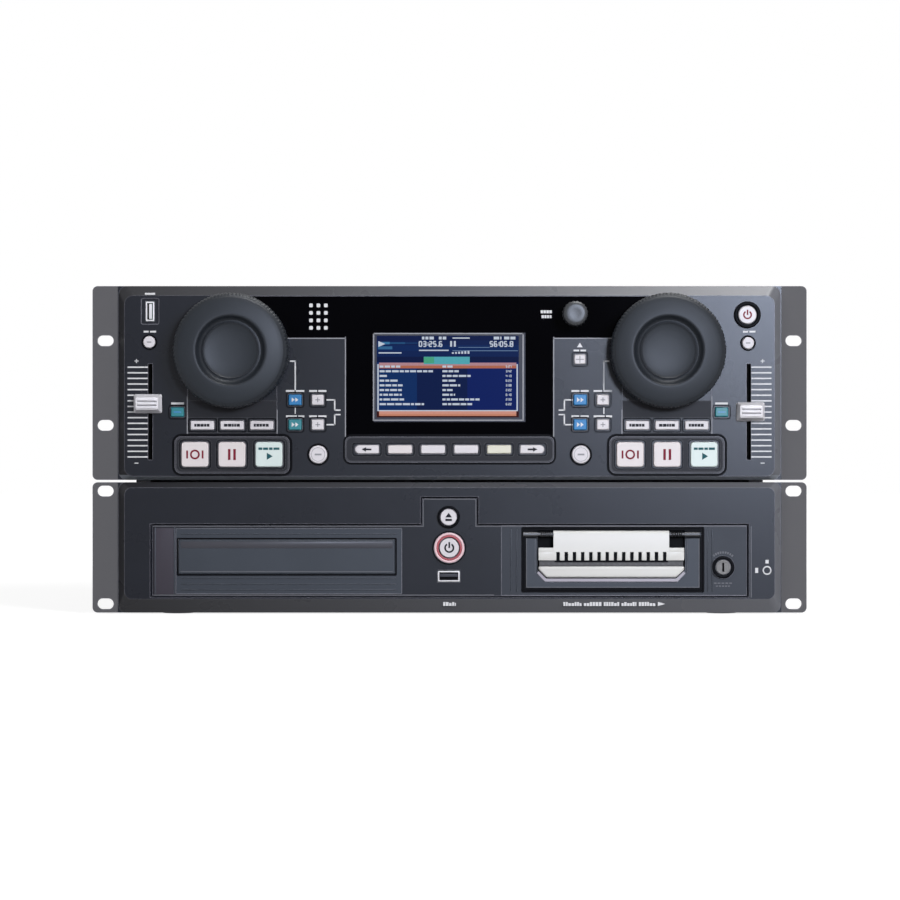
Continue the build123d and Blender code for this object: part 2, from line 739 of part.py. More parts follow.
def make_disc_drive_frame():
    """Bezel and case of the disc drive, with tray rails, spindle motor and pickup carriage."""
    half = disc_box_width / 2
    top, bottom = drive_z + disc_box_top, drive_z + disc_box_bottom
    bezel_low = drive_z + disc_bezel_rise - disc_bezel_height / 2
    bezel_high = bezel_low + disc_bezel_height
    bezel_back = 8.5
    tray_bottom = drive_z + tray_top - tray_thickness
    with BuildPart() as frame:
        block(
            (disc_x - disc_bezel_width / 2, disc_x + disc_bezel_width / 2),
            (island_depth, drive_face_thickness),
            (bezel_low, bezel_high),
        )
        block((disc_x - half, disc_x + half), (drive_face_thickness, disc_box_length), (bottom, top))
        block(
            (disc_x - half + 1.5, disc_x + half - 1.5),
            (bezel_back, disc_box_length - 1.5),
            (bottom + 1.5, top - 1.2),
            Mode.SUBTRACT,
        )
        door_low = drive_z + tray_door_rise - tray_door_height / 2
        with BuildSketch(front_plane(bezel_back)):
            with Locations((disc_x, drive_z + tray_door_rise)):
                Rectangle(tray_width + 1.0, tray_door_height - 2.0)
        extrude(amount=bezel_back, mode=Mode.SUBTRACT)
        block(
            (tray_door_x - tray_door_width / 2 - move_gap, tray_door_x + tray_door_width / 2 + move_gap),
            (island_depth, 6.6),
            (door_low - move_gap, door_low + tray_door_height + move_gap),
            Mode.SUBTRACT,
        )
        rail_far = disc_box_length - 1.5
        for sign in (-1, 1):
            inner = disc_x + sign * (tray_width / 2 - 6)
            outer = disc_x + sign * (half - 1.5)
            block(sorted((inner, outer)), (bezel_back, rail_far), (tray_bottom - 3.3, tray_bottom - 0.3))
            upper = disc_x + sign * (tray_width / 2 + 0.4)
            block(sorted((upper, outer)), (bezel_back, rail_far), (tray_bottom - 0.3, tray_bottom + 5.0))
        motor_top = tray_bottom - 2.5
        spindle_y = face_y + disc_centre_depth
        with BuildSketch(Plane.XY.offset(bottom + 1.5)):
            with Locations((disc_x, spindle_y)):
                Circle(13.0)
            with Locations((disc_x, spindle_y + 42)):
                Rectangle(24.0, 18.0)
            with Locations((disc_x - 16, spindle_y + 45), (disc_x + 16, spindle_y + 45)):
                Rectangle(3.0, 70.0)
        extrude(amount=motor_top - bottom - 1.5)
        with BuildSketch(Plane.XY.offset(motor_top)):
            with Locations((disc_x, spindle_y)):
                Circle(2.0 + shaft_gap)
        extrude(amount=-6.0, mode=Mode.SUBTRACT)
    finish(frame, "disc_drive_frame")


def make_disc_tray():
    """Loading tray with its wide front, a stepped disc recess and a slot for the spindle."""
    top = drive_z + tray_top
    middle_depth = 6.2
    far = middle_depth + tray_length
    with BuildPart() as tray:
        door_low = drive_z + tray_door_rise - tray_door_height / 2
        with BuildSketch(front_plane(middle_depth)):
            with Locations((tray_door_x, drive_z + tray_door_rise)):
                RectangleRounded(tray_door_width, tray_door_height, 0.8)
        extrude(amount=middle_depth - island_depth + 0.9)
        chamfer(tray.faces().sort_by(Axis.Y)[0].edges(), length=0.7)
        half = tray_width / 2
        block((disc_x - half, disc_x + half), (middle_depth, far), (top - tray_thickness, top))
        with BuildSketch(Plane.XY.offset(top)):
            with Locations((disc_x, face_y + disc_centre_depth)):
                Circle(disc_recess_radius)
        extrude(amount=-2.0, mode=Mode.SUBTRACT)
        with BuildSketch(Plane.XY.offset(top - 2.0)):
            with Locations((disc_x, face_y + disc_centre_depth)):
                Circle(41.0)
        extrude(amount=-1.0, mode=Mode.SUBTRACT)
        slot_length = far - disc_centre_depth + 1.0
        with BuildSketch(Plane.XY.offset(top)):
            with Locations((disc_x, face_y + disc_centre_depth)):
                Circle(spindle_slot_width / 2)
            with Locations((disc_x, face_y + disc_centre_depth + slot_length / 2)):
                Rectangle(spindle_slot_width, slot_length)
        extrude(amount=-tray_thickness, mode=Mode.SUBTRACT)
        block(
            (disc_x - half + 3, disc_x + half - 3),
            (middle_depth + 3, disc_centre_depth - 24),
            (top - tray_thickness, top - tray_thickness + 3.0),
            Mode.SUBTRACT,
        )
    finish(tray, "disc_tray")


def make_disc_spindle():
    """Turntable that carries the disc, with its centring hub and shaft."""
    seat = drive_z + tray_top - 1.6
    tray_bottom = drive_z + tray_top - tray_thickness
    shaft_low = tray_bottom - 2.5 - 5.5
    with BuildPart() as spindle:
        with BuildSketch(Plane.XY.offset(seat)):
            with Locations((disc_x, face_y + disc_centre_depth)):
                Circle(15.0)
        extrude(amount=-2.5)
        with BuildSketch(Plane.XY.offset(seat)):
            with Locations((disc_x, face_y + disc_centre_depth)):
                Circle(7.4)
        extrude(amount=2.6)
        chamfer(spindle.faces().sort_by(Axis.Z)[-1].edges(), length=0.9)
        with BuildSketch(Plane.XY.offset(shaft_low)):
            with Locations((disc_x, face_y + disc_centre_depth)):
                Circle(2.0)
        extrude(amount=seat - shaft_low)
    finish(spindle, "disc_spindle")


def make_cartridge_bay():
    """Bay for the removable hard drive: front frame with lock boss, and a sleeve behind it."""
    back = cartridge_length + 14.0
    bottom, top = drive_z + bay_bottom + 0.5, drive_z + bay_top - 0.5
    hole_x = (cartridge_left - 0.4, cartridge_right + 0.4)
    hole_z = (drive_z + cartridge_bottom - 0.4, drive_z + cartridge_top + 0.4)
    with BuildPart() as bay:
        block((bay_left + 0.5, bay_right - 0.5), (island_depth, 12.0), (bottom, top))
        block((cartridge_left - 3, cartridge_right + 3), (12.0, back), (bottom, hole_z[1] + 1.4))
        block(hole_x, (island_depth, back - 3.0), hole_z, Mode.SUBTRACT)
        disc(lock_x, (island_depth - 1.6, island_depth), drive_z + lock_rise, lock_ring_radius)
        disc(lock_x, (12.0, 26.0), drive_z + lock_rise, lock_ring_radius)
        disc(lock_x, (0, 26.0), drive_z + lock_rise, lock_radius + shaft_gap, Mode.SUBTRACT)
    finish(bay, "cartridge_bay")


def make_key_cylinder():
    """Lock cylinder with its key slot and the cam that turns behind the boss."""
    z = drive_z + lock_rise
    with BuildPart() as cylinder:
        disc(lock_x, (0.2, 26.5), z, lock_radius)
        chamfer(cylinder.faces().sort_by(Axis.Y)[0].edges(), length=0.5)
        block((lock_x - 0.7, lock_x + 0.7), (0.0, 9.0), (z - 3.0, z + 3.0), Mode.SUBTRACT)
        disc(lock_x, (26.5, 28.5), z, 7.0)
        block((lock_x - 3, lock_x + 3), (26.5, 28.5), (z, z + 14.0))
    finish(cylinder, "key_cylinder")


def handle_field_outline(margin):
    """The sunken field that the handle folds into: a tall box with cut lower corners."""
    half = 49.9 + margin
    low = drive_z - 22.2 - margin
    high = drive_z + 12.0
    cut = 7.0
    with BuildLine() as edge:
        Polyline(
            (handle_x - half, high),
            (handle_x + half, high),
            (handle_x + half, low + cut),
            (handle_x + half - cut, low),
            (handle_x - half + cut, low),
            (handle_x - half, low + cut),
            (handle_x - half, high),
        )
    make_face(edge.line)


def make_drive_cartridge():
    """Removable carrier with its drive inside, the sunken handle field and the hinge rod."""
    low, high = drive_z + cartridge_bottom, drive_z + cartridge_top
    far = island_depth + cartridge_length
    rod_z = drive_z + handle_pivot_rise
    with BuildPart() as cartridge:
        block((cartridge_left, cartridge_right), (island_depth, 18.0), (low, high))
        block((cartridge_left + 1.0, cartridge_right - 1.0), (18.0, far), (low, low + 2.0))
        for x in (cartridge_left + 1.0, cartridge_right - 3.0):
            block((x, x + 2.0), (18.0, far), (low + 2.0, high - 8.0))
        drive_half = 50.8
        block((handle_x - drive_half, handle_x + drive_half), (24.0, 171.0), (low + 3.2, low + 29.3))
        block((handle_x - drive_half, handle_x - drive_half + 8), (30.0, 165.0), (low + 2.0, low + 3.2))
        block((handle_x + drive_half - 8, handle_x + drive_half), (30.0, 165.0), (low + 2.0, low + 3.2))
        block((handle_x - 40, handle_x + 40), (far - 6, far), (low + 2.0, low + 12.0))
        with BuildSketch(front_plane(10.0)):
            handle_field_outline(0.0)
        extrude(amount=7.6, mode=Mode.SUBTRACT)
        with BuildSketch(front_plane(3.6)):
            handle_field_outline(1.4)
        extrude(amount=1.2, mode=Mode.SUBTRACT)
        groove = hinge_rod_radius + 0.6
        block(
            (cartridge_left + 1.0, cartridge_right - 1.0),
            (island_depth - 1, handle_pivot_depth),
            (rod_z - groove, rod_z + groove),
            Mode.SUBTRACT,
        )
        with BuildSketch(side_plane(cartridge_left + 1.0)):
            with Locations((face_y + handle_pivot_depth, rod_z)):
                Circle(hinge_rod_radius)
        extrude(amount=cartridge_right - cartridge_left - 2.0)
    finish(cartridge, "drive_cartridge")


def make_cartridge_handle():
    """Fold-out handle: slotted plate on the hinge rod, side links and the grip bar."""
    plate_half = 39.1
    wide_half = 49.2
    near, far = handle_pivot_depth - 2.5, handle_pivot_depth + 2.5
    rod_z = drive_z + handle_pivot_rise
    with BuildPart() as handle:
        block((handle_x - plate_half, handle_x + plate_half), (near, far), (drive_z - 8.6, rod_z))
        with BuildSketch(side_plane(handle_x - plate_half)):
            with Locations((face_y + handle_pivot_depth, rod_z)):
                Circle(2.5)
        extrude(amount=2 * plate_half)
        block((handle_x - wide_half, handle_x + wide_half), (near, far), (drive_z - 8.6, drive_z - 0.1))
        block((handle_x - wide_half, handle_x + wide_half), (near + 2.0, far), (drive_z - 13.0, drive_z - 8.6))
        with BuildSketch(front_plane(far + 0.5)):
            with BuildLine():
                Polyline(
                    (handle_x - wide_half, drive_z - 12.8),
                    (handle_x + wide_half, drive_z - 12.8),
                    (handle_x + wide_half, drive_z - 14.6),
                    (handle_x + wide_half - 5.6, drive_z - 20.2),
                    (handle_x - wide_half + 5.6, drive_z - 20.2),
                    (handle_x - wide_half, drive_z - 14.6),
                    (handle_x - wide_half, drive_z - 12.8),
                )
            make_face()
        extrude(amount=6.5)
        fillet(
            handle.faces().sort_by(Axis.Y)[0].edges().filter_by(Axis.X).sort_by(Axis.Z)[0],
            radius=1.2,
        )
        with BuildSketch(front_plane(near + 2.0)):
            with Locations((handle_x, drive_z - 6.5)):
                with GridLocations(5.53, 1.0, 14, 1):
                    Rectangle(1.9, 6.6)
        extrude(amount=3.0, mode=Mode.SUBTRACT)
        with BuildSketch(side_plane(handle_x - wide_half - 1)):
            with Locations((face_y + handle_pivot_depth, rod_z)):
                Circle(hinge_rod_radius + shaft_gap)
        extrude(amount=2 * wide_half + 2, mode=Mode.SUBTRACT)
    finish(handle, "cartridge_handle")


def make_main_board():
    """Main board with the riser behind the front buttons, its rear sockets and heat sink."""
    riser_front = drive_face_thickness + 8.0
    with BuildPart() as board:
        with BuildSketch(Plane.XY.offset(main_board_z)):
            with Locations((0, face_y + 160)):
                Rectangle(50.0, 276.0)
            with Locations((80, face_y + 255)):
                Rectangle(220.0, 84.0)
        extrude(amount=board_thickness)
        block((-23, 23), (riser_front, riser_front + board_thickness), (main_board_z, drive_z + 32))
        block((-23, 23), (riser_front, 24), (main_board_z, main_board_z + board_thickness))
        for button in drive_buttons:
            block(
                (button.x - 3, button.x + 3),
                (stem_end + drive_face_thickness - face_thickness + 1.6, riser_front),
                (button.z - 3, button.z + 3),
            )
        make_usb_shell(drive_usb_x, drive_z + drive_usb_rise, 14.5, 7.0, (2.0, riser_front))
        board_top = main_board_z + board_thickness
        wall_front = drive_depth - sheet
        for x, z, width, height in rear_openings()[:2]:
            block((x - 19.6, x + 19.6), (270, wall_front), (board_top, z + 9.6))
            block((x - 19.6, x + 19.6), (wall_front, drive_depth), (z - 9.6, z + 9.6))
            for step in (-9.5, 9.5):
                disc(x + step, (drive_depth, drive_depth + socket_reach), z, 4.15)
                disc(x + step, (drive_depth - 6, drive_depth + socket_reach), z, 1.6, Mode.SUBTRACT)
        for x, z, width, height in rear_openings()[2:4]:
            block((x - 8.6, x + 8.6), (280, wall_front), (board_top, z + 7.6))
            block((x - 8.6, x + 8.6), (wall_front, drive_depth), (z - 7.6, z + 7.6))
            block((x - 6.0, x + 6.0), (286, drive_depth), (z - 5.0, z + 5.0), Mode.SUBTRACT)
        block((90, 130), (225, 262), (board_top, board_top + 5.0))
        with BuildSketch(Plane.XY.offset(board_top + 5.0)):
            with Locations((110, face_y + 243.5)):
                with GridLocations(5.0, 1.0, 8, 1):
                    Rectangle(1.6, 36.0)
        extrude(amount=18.0)
    finish(board, "main_board")


def make_power_supply():
    """Closed power supply box with its mains inlet in the back."""
    floor_top = chassis_floor + sheet
    x, z, width, height = rear_openings()[4]
    with BuildPart() as supply:
        block((-200, -60), (205, 290), (floor_top, floor_top + 62))
        fillet(supply.edges().filter_by(Axis.Z), radius=1.5)
        block((x - 13.5, x + 13.5), (282, drive_depth + 1.5), (z - 10.0, z + 10.0))
        block((x - 12.2, x + 12.2), (285, drive_depth + 1.5), (z - 8.2, z + 8.2), Mode.SUBTRACT)
        for step, rise in ((-7.0, -1.5), (0.0, 2.5), (7.0, -1.5)):
            block((x + step - 1, x + step + 1), (284, 296), (z + rise - 3, z + rise + 3))
    finish(supply, "power_supply")


os.makedirs("parts", exist_ok=True)
make_control_front_panel()
make_display_window()
make_display_screen()
make_control_board()
make_control_rear_case()
make_browse_knob()
for deck_side in deck_x:
    make_jog_wheel(deck_side)
    make_pitch_fader(deck_side)
for push_button in control_buttons:
    make_push_button(push_button, face_thickness)
make_drive_front_panel()
make_drive_chassis()
make_drive_top_cover()
make_screws()
make_rubber_feet()
make_disc_drive_frame()
make_disc_tray()
make_disc_spindle()
make_cartridge_bay()
make_key_cylinder()
make_drive_cartridge()
make_cartridge_handle()
make_main_board()
make_power_supply()
for push_button in drive_buttons:
    make_push_button(push_button, drive_face_thickness)
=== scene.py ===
import math
import random
import bpy
import bmesh
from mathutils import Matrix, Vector


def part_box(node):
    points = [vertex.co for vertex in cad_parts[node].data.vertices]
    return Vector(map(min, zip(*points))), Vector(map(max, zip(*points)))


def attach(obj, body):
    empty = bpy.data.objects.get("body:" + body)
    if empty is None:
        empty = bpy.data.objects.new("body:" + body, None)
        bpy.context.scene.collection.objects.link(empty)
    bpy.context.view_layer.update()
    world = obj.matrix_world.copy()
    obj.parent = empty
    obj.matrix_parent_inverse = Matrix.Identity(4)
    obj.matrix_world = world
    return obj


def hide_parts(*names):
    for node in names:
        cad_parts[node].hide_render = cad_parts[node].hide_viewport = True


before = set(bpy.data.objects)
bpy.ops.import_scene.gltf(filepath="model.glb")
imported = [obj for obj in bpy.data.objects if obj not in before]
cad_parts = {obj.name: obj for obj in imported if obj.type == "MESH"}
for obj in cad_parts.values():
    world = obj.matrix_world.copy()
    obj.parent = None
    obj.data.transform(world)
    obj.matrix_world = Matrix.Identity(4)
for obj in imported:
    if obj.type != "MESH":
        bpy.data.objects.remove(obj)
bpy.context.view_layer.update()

# All layout values are in millimetres. X runs to the viewer's right from the middle of the panels,
# rise is the height above a panel's own middle line, and depth is the distance behind the panel faces.
MM = 0.001
control_low, control_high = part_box("control_front_panel")
drive_low, drive_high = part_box("drive_front_panel")
FACE_Y = drive_low.y
CONTROL_Z = (control_low.z + control_high.z) / 2
DRIVE_Z = (drive_low.z + drive_high.z) / 2
CONTROL_HALF_HEIGHT, DRIVE_HALF_HEIGHT = 65.5, 44.05
EAR_START = 224.2

# ---------------------------------------------------------------- layout of the control panel
DECKS = {"left": -146.5, "right": 146.5}
JOG_RISE, JOG_TEETH, JOG_BAND_RADIUS = 21.4, 96, 37.2
SCREEN_LEFT, SCREEN_RIGHT, SCREEN_TOP, SCREEN_BOTTOM = -49.1, 46.7, 31.7, -23.3
SCREEN_DEPTH = 0.9
FADER_X, FADER_RISE, FADER_SLOT_HALF = 201.7, -19.7, 34.0
TICK_X, TICK_PITCH, TICK_COUNT, SIGN_X, SIGN_RISE = 210.2, 3.78, 17, 211.0, 34.4
KNOB_X, KNOB_RISE, KNOB_RADIUS, KNOB_FLUTES = 84.5, 46.4, 8.8, 20
TRANSPORT_RISE, SOFT_KEYS_RISE = -48.6, -44.9

# ---------------------------------------------------------------- layout of the drive panel
ISLAND_DEPTH = 2.5
ISLAND_BACK = ISLAND_DEPTH + 0.05
HANDLE_X, HANDLE_PIVOT_RISE, HANDLE_PIVOT_DEPTH = 109.1, 9.0, 3.0
CARTRIDGE_LEFT, CARTRIDGE_RIGHT, CARTRIDGE_LOW, CARTRIDGE_TOP = 49.7, 170.6, -29.0, 12.7
LOCK_X, LOCK_RISE = 184.5, -13.2
POWER_X, POWER_RISE = -0.2, -0.1
LABEL_RISE, LAMP_X, LAMP_RISE = -38.0, 214.0, -15.3

# ---------------------------------------------------------------- layout of the back
REAR_DEPTH = 300.0
AUDIO_HEIGHT, LINK_HEIGHT, INLET_X, INLET_HEIGHT = 26.0, 23.0, -130.0, 34.0
SOCKETS_FROM, SOCKET_TIPS_FROM, INLET_FROM = 266.0, 300.6, 290.2


# ---------------------------------------------------------------- outlines
def rounded_box(x, rise, width, height, corner, steps=5):
    """Points round a box with rounded corners, anticlockwise from the lower right."""
    corner = max(min(corner, width / 2 - 0.01, height / 2 - 0.01), 0.01)
    points = []
    for quarter, (sx, sz) in enumerate(((1, -1), (1, 1), (-1, 1), (-1, -1))):
        cx = x + sx * (width / 2 - corner)
        cz = rise + sz * (height / 2 - corner)
        for step in range(steps + 1):
            angle = math.radians(-90 + 90 * quarter + 90 * step / steps)
            points.append((cx + corner * math.cos(angle), cz + corner * math.sin(angle)))
    return points


def circle(x, rise, radius, count=48):
    """Points round a circle, anticlockwise."""
    turns = [2 * math.pi * step / count for step in range(count)]
    return [(x + radius * math.cos(a), rise + radius * math.sin(a)) for a in turns]


def bar(x, rise, width, height):
    """Points round a square-cornered bar."""
    left, right, low, top = x - width / 2, x + width / 2, rise - height / 2, rise + height / 2
    return [(left, low), (right, low), (right, top), (left, top)]


def ring_sector(x, rise, inner, outer, start, end, steps=1):
    """Outline of part of a ring, between two angles in degrees."""
    angles = [math.radians(start + (end - start) * step / steps) for step in range(steps + 1)]
    outside = [(x + outer * math.cos(a), rise + outer * math.sin(a)) for a in angles]
    return outside + [(x + inner * math.cos(a), rise + inner * math.sin(a)) for a in reversed(angles)]


def ring_pieces(inner, outer, start, end, steps):
    """Part of a ring round the middle, as short straight pieces."""
    turn = (end - start) / steps
    return [ring_sector(0, 0, inner, outer, start + step * turn, start + (step + 1) * turn)
            for step in range(steps)]


def place_of(node, unit_z=CONTROL_Z):
    """Middle x, rise on its unit and front depth of a node."""
    low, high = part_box(node)
    return (low.x + high.x) / 2 / MM, ((low.z + high.z) / 2 - unit_z) / MM, (low.y - FACE_Y) / MM


# ---------------------------------------------------------------- mesh making
class Piece:
    """One Blender piece: collects faces, and at the end of its with block hangs on its body."""

    def __init__(self, name, material, slot, unit_z=CONTROL_Z, body="housing", sharp=35.0, replaces=()):
        self.bm = bmesh.new()
        self.unit_z = unit_z
        self.facts = name, material, slot, body, sharp, replaces

    def __enter__(self):
        return self

    def __exit__(self, failure, *details):
        if failure is None:
            self.finish(*self.facts)

    def vert(self, x, rise, depth):
        return self.bm.verts.new((x * MM, FACE_Y + depth * MM, self.unit_z + rise * MM))

    def skin(self, loops, caps=True):
        """Joins vertex loops one after another; a loop of one vertex is a tip."""
        count = max(len(loop) for loop in loops)
        for near, far in zip(loops, loops[1:]):
            for i in range(count):
                j = (i + 1) % count
                corners = (near[i % len(near)], near[j % len(near)], far[j % len(far)], far[i % len(far)])
                self.bm.faces.new(list(dict.fromkeys(corners)))
        if caps:
            self.bm.faces.new(loops[0][::-1])
            self.bm.faces.new(loops[-1])

    def stack(self, outlines, caps=True):
        """Joins outlines of equal point count, each (points, depth), from front to back."""
        self.skin([[self.vert(px, pz, depth) for px, pz in points] for points, depth in outlines], caps)

    def prism(self, points, front, back):
        """An outline drawn straight back."""
        self.stack([(points, front), (points, back)])

    def boxes(self, front, back, *areas):
        """Square-cornered blocks, each (left, right, low, top)."""
        for left, right, low, top in areas:
            self.prism([(left, low), (right, low), (right, top), (left, top)], front, back)

    def bars(self, front, back, *bars):
        """Square-cornered blocks, each (x, rise, width, height)."""
        for area in bars:
            self.prism(bar(*area), front, back)

    def slab(self, x, rise, width, height, corner, front, back, soft=0.4):
        """A plate with rounded corners and a softened front edge."""
        def outline(inset):
            return rounded_box(x, rise, width - 2 * inset, height - 2 * inset, corner - inset)

        self.stack([(outline(soft), front), (outline(0.3 * soft), front + 0.3 * soft),
                    (outline(0), front + soft), (outline(0), back)])

    def frame(self, x, rise, width, height, corner, border, front, back, soft=0.12):
        """A flat frame with rounded corners; width, height and corner are its outer ones."""
        def outline(inset):
            return rounded_box(x, rise, width - 2 * inset, height - 2 * inset, corner - inset)

        self.stack([(outline(0), back), (outline(0), front + soft), (outline(soft), front),
                    (outline(border - soft), front), (outline(border), front + soft), (outline(border), back),
                    (outline(0), back)], caps=False)

    def lathe(self, x, rise, profile, count=96, wobble=None):
        """Turns a profile of (radius, depth) round an axis along Y. wobble changes the radius by angle."""
        loops = []
        for radius, depth in profile:
            loop = []
            for step in range(count if radius else 1):
                angle = 2 * math.pi * step / count
                r = radius + (wobble(angle, radius, depth) if wobble else 0.0)
                loop.append(self.vert(x + r * math.cos(angle), rise + r * math.sin(angle), depth))
            loops.append(loop)
        self.skin(loops, caps=False)

    def ring(self, x, rise, inner, outer, front, back, soft=0.35, count=72):
        """A flat ring with softened front edges."""
        self.lathe(x, rise, [
            (inner, back), (inner, front + soft), (inner + 0.4 * soft, front + 0.3 * soft),
            (inner + soft, front), (outer - soft, front), (outer - 0.4 * soft, front + 0.3 * soft),
            (outer, front + soft), (outer, back), (inner, back)], count)

    def pierced(self, outer, holes, front, back):
        """A flat plate with an outline and holes, all given as point lists."""
        sides = []
        for depth in (front, back):
            loops = [[self.vert(px, pz, depth) for px, pz in points] for points in (outer, *holes)]
            edges = [self.bm.edges.new((a, b)) for loop in loops for a, b in zip(loop, loop[1:] + loop[:1])]
            bmesh.ops.triangle_fill(self.bm, use_beauty=True, edges=edges)
            sides.append(loops)
        for near, far in zip(*sides):
            self.skin([near, far], caps=False)

    def finish(self, name, material, slot, body, sharp, replaces):
        """Makes the object, shades it smooth up to the sharp angle and hangs it on its body."""
        bmesh.ops.remove_doubles(self.bm, verts=self.bm.verts, dist=1e-7)
        bmesh.ops.recalc_face_normals(self.bm, faces=self.bm.faces)
        limit = math.radians(sharp)
        for face in self.bm.faces:
            face.smooth = True
        for edge in self.bm.edges:
            if len(edge.link_faces) == 2 and edge.calc_face_angle(0.0) > limit:
                edge.smooth = False
        mesh = bpy.data.meshes.new(name)
        self.bm.to_mesh(mesh)
        self.bm.free()
        mesh.materials.append(material)
        piece = bpy.data.objects.new(name, mesh)
        bpy.context.scene.collection.objects.link(piece)
        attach(piece, body)
        if replaces:
            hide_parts(*replaces)


# ---------------------------------------------------------------- shader making
class Shading:
    """Adds nodes to a shader tree. A socket is fed a constant or another socket."""

    def __init__(self, tree):
        self.tree = tree

    def add(self, kind, feeds=(), **settings):
        node = self.tree.nodes.new(kind)
        for name, value in settings.items():
            setattr(node, name, value)
        self.feed(node.inputs, dict(feeds))
        return node

    def feed(self, sockets, feeds):
        for name, value in feeds.items():
            if isinstance(value, bpy.types.NodeSocket):
                self.tree.links.new(value, sockets[name])
            else:
                is_colour = sockets[name].type == "RGBA"
                sockets[name].default_value = (*value, 1.0) if is_colour else value

    def math(self, operation, *values, clamp=False):
        feeds = enumerate(values)
        return self.add("ShaderNodeMath", feeds, operation=operation, use_clamp=clamp).outputs[0]

    def mix(self, mask, colour, other):
        """A colour that turns to another one under a mask."""
        return self.add("ShaderNodeMix", {0: mask, 6: colour, 7: other}, data_type="RGBA").outputs[2]

    def map_range(self, value, **ends):
        feeds = {name.replace("_", " "): end for name, end in ends.items()}
        return self.add("ShaderNodeMapRange", {"Value": value, **feeds}).outputs["Result"]

    def axes(self, reading):
        """X, Y and Z of the surface's Normal or Position."""
        source = self.add("ShaderNodeNewGeometry").outputs[reading]
        return self.add("ShaderNodeSeparateXYZ", {0: source}).outputs

    def noise(self, **feeds):
        """Noise over the object's own space, or over a given Vector."""
        feeds.setdefault("Vector", self.add("ShaderNodeTexCoord").outputs["Object"])
        return self.add("ShaderNodeTexNoise", feeds).outputs["Fac"]

    def group(self, group, feeds=()):
        return self.add("ShaderNodeGroup", feeds, node_tree=group).outputs

    def relief(self, height, strength):
        feeds = {"Height": height, "Strength": strength, "Distance": 0.0001}
        return self.add("ShaderNodeBump", feeds).outputs["Normal"]


def new_group(name, inputs, outputs):
    """An empty shader group: its shading, what it is given and what it has to feed."""
    group = bpy.data.node_groups.new(name, "ShaderNodeTree")
    for socket, default in inputs.items():
        kind = "NodeSocketColor" if isinstance(default, tuple) else "NodeSocketFloat"
        group.interface.new_socket(socket, in_out="INPUT", socket_type=kind).default_value = default
    for socket in outputs:
        kind = "NodeSocketColor" if socket == "Color" else "NodeSocketFloat"
        group.interface.new_socket(socket, in_out="OUTPUT", socket_type=kind)
    shading = Shading(group)
    return shading, shading.add("NodeGroupInput").outputs, shading.add("NodeGroupOutput").inputs


def build_grain_group():
    """Moulding or paint grain: a slow change of colour, a change of roughness and a fine height."""
    shading, given, result = new_group(
        "surface_grain",
        {"Base": (0.1, 0.1, 0.1, 1), "Tint": (0.12, 0.12, 0.12, 1), "Cloud Scale": 30.0,
         "Grain Scale": 1500.0, "Roughness": 0.5, "Roughness Change": 0.1},
        ("Color", "Roughness", "Height"))
    cloud = shading.noise(Scale=given["Cloud Scale"], Detail=4.0)
    swing = shading.math("SUBTRACT", cloud, 0.5)
    shading.feed(result, {
        "Color": shading.mix(cloud, given["Base"], given["Tint"]),
        "Roughness": shading.math("MULTIPLY_ADD", swing, given["Roughness Change"], given["Roughness"]),
        "Height": shading.noise(Scale=given["Grain Scale"], Detail=2.0)})
    return shading.tree


def build_edge_wear_and_highlight_group():
    """Mask of the edges, tinted both as wear and as painted highlight: where a rounded normal leaves the true
    one.
    """
    shading, given, result = new_group("edge_wear_and_highlight", {"Radius": 0.0006, "Strength": 2.0}, ("Mask",))
    rounded = shading.add("ShaderNodeBevel", {"Radius": given["Radius"]}, samples=6).outputs["Normal"]
    true_normal = shading.add("ShaderNodeNewGeometry").outputs["Normal"]
    dot = shading.add("ShaderNodeVectorMath", {0: rounded, 1: true_normal}, operation="DOT_PRODUCT")
    gap = shading.math("SUBTRACT", 1.0, dot.outputs["Value"])
    shading.feed(result, {"Mask": shading.math("MULTIPLY", gap, given["Strength"], clamp=True)})
    return shading.tree


def build_dust_group():
    """Mask of the thin dust that settles on faces that look up."""
    shading, given, result = new_group("settled_dust", {"Amount": 0.2}, ("Mask",))
    upward = shading.map_range(shading.axes("Normal")["Z"], From_Min=0.6, From_Max=1.0)
    specks = shading.math("MULTIPLY", upward, shading.noise(Scale=90.0, Detail=6.0))
    shading.feed(result, {"Mask": shading.math("MULTIPLY", specks, given["Amount"], clamp=True)})
    return shading.tree


def build_side_zone_group():
    """Mask of what lies further than a half width from the middle, such as rack ears."""
    shading, given, result = new_group("side_zone", {"Half Width": 0.22}, ("Mask",))
    reach = shading.math("ABSOLUTE", shading.axes("Position")["X"])
    shading.feed(result, {"Mask": shading.math("GREATER_THAN", reach, given["Half Width"])})
    return shading.tree


def build_rear_zone_group():
    """Mask of what lies further back than a plane, such as the sockets of a board."""
    shading, given, result = new_group("rear_zone", {"Behind": 0.1}, ("Mask",))
    depth = shading.axes("Position")["Y"]
    shading.feed(result, {"Mask": shading.math("GREATER_THAN", depth, given["Behind"])})
    return shading.tree


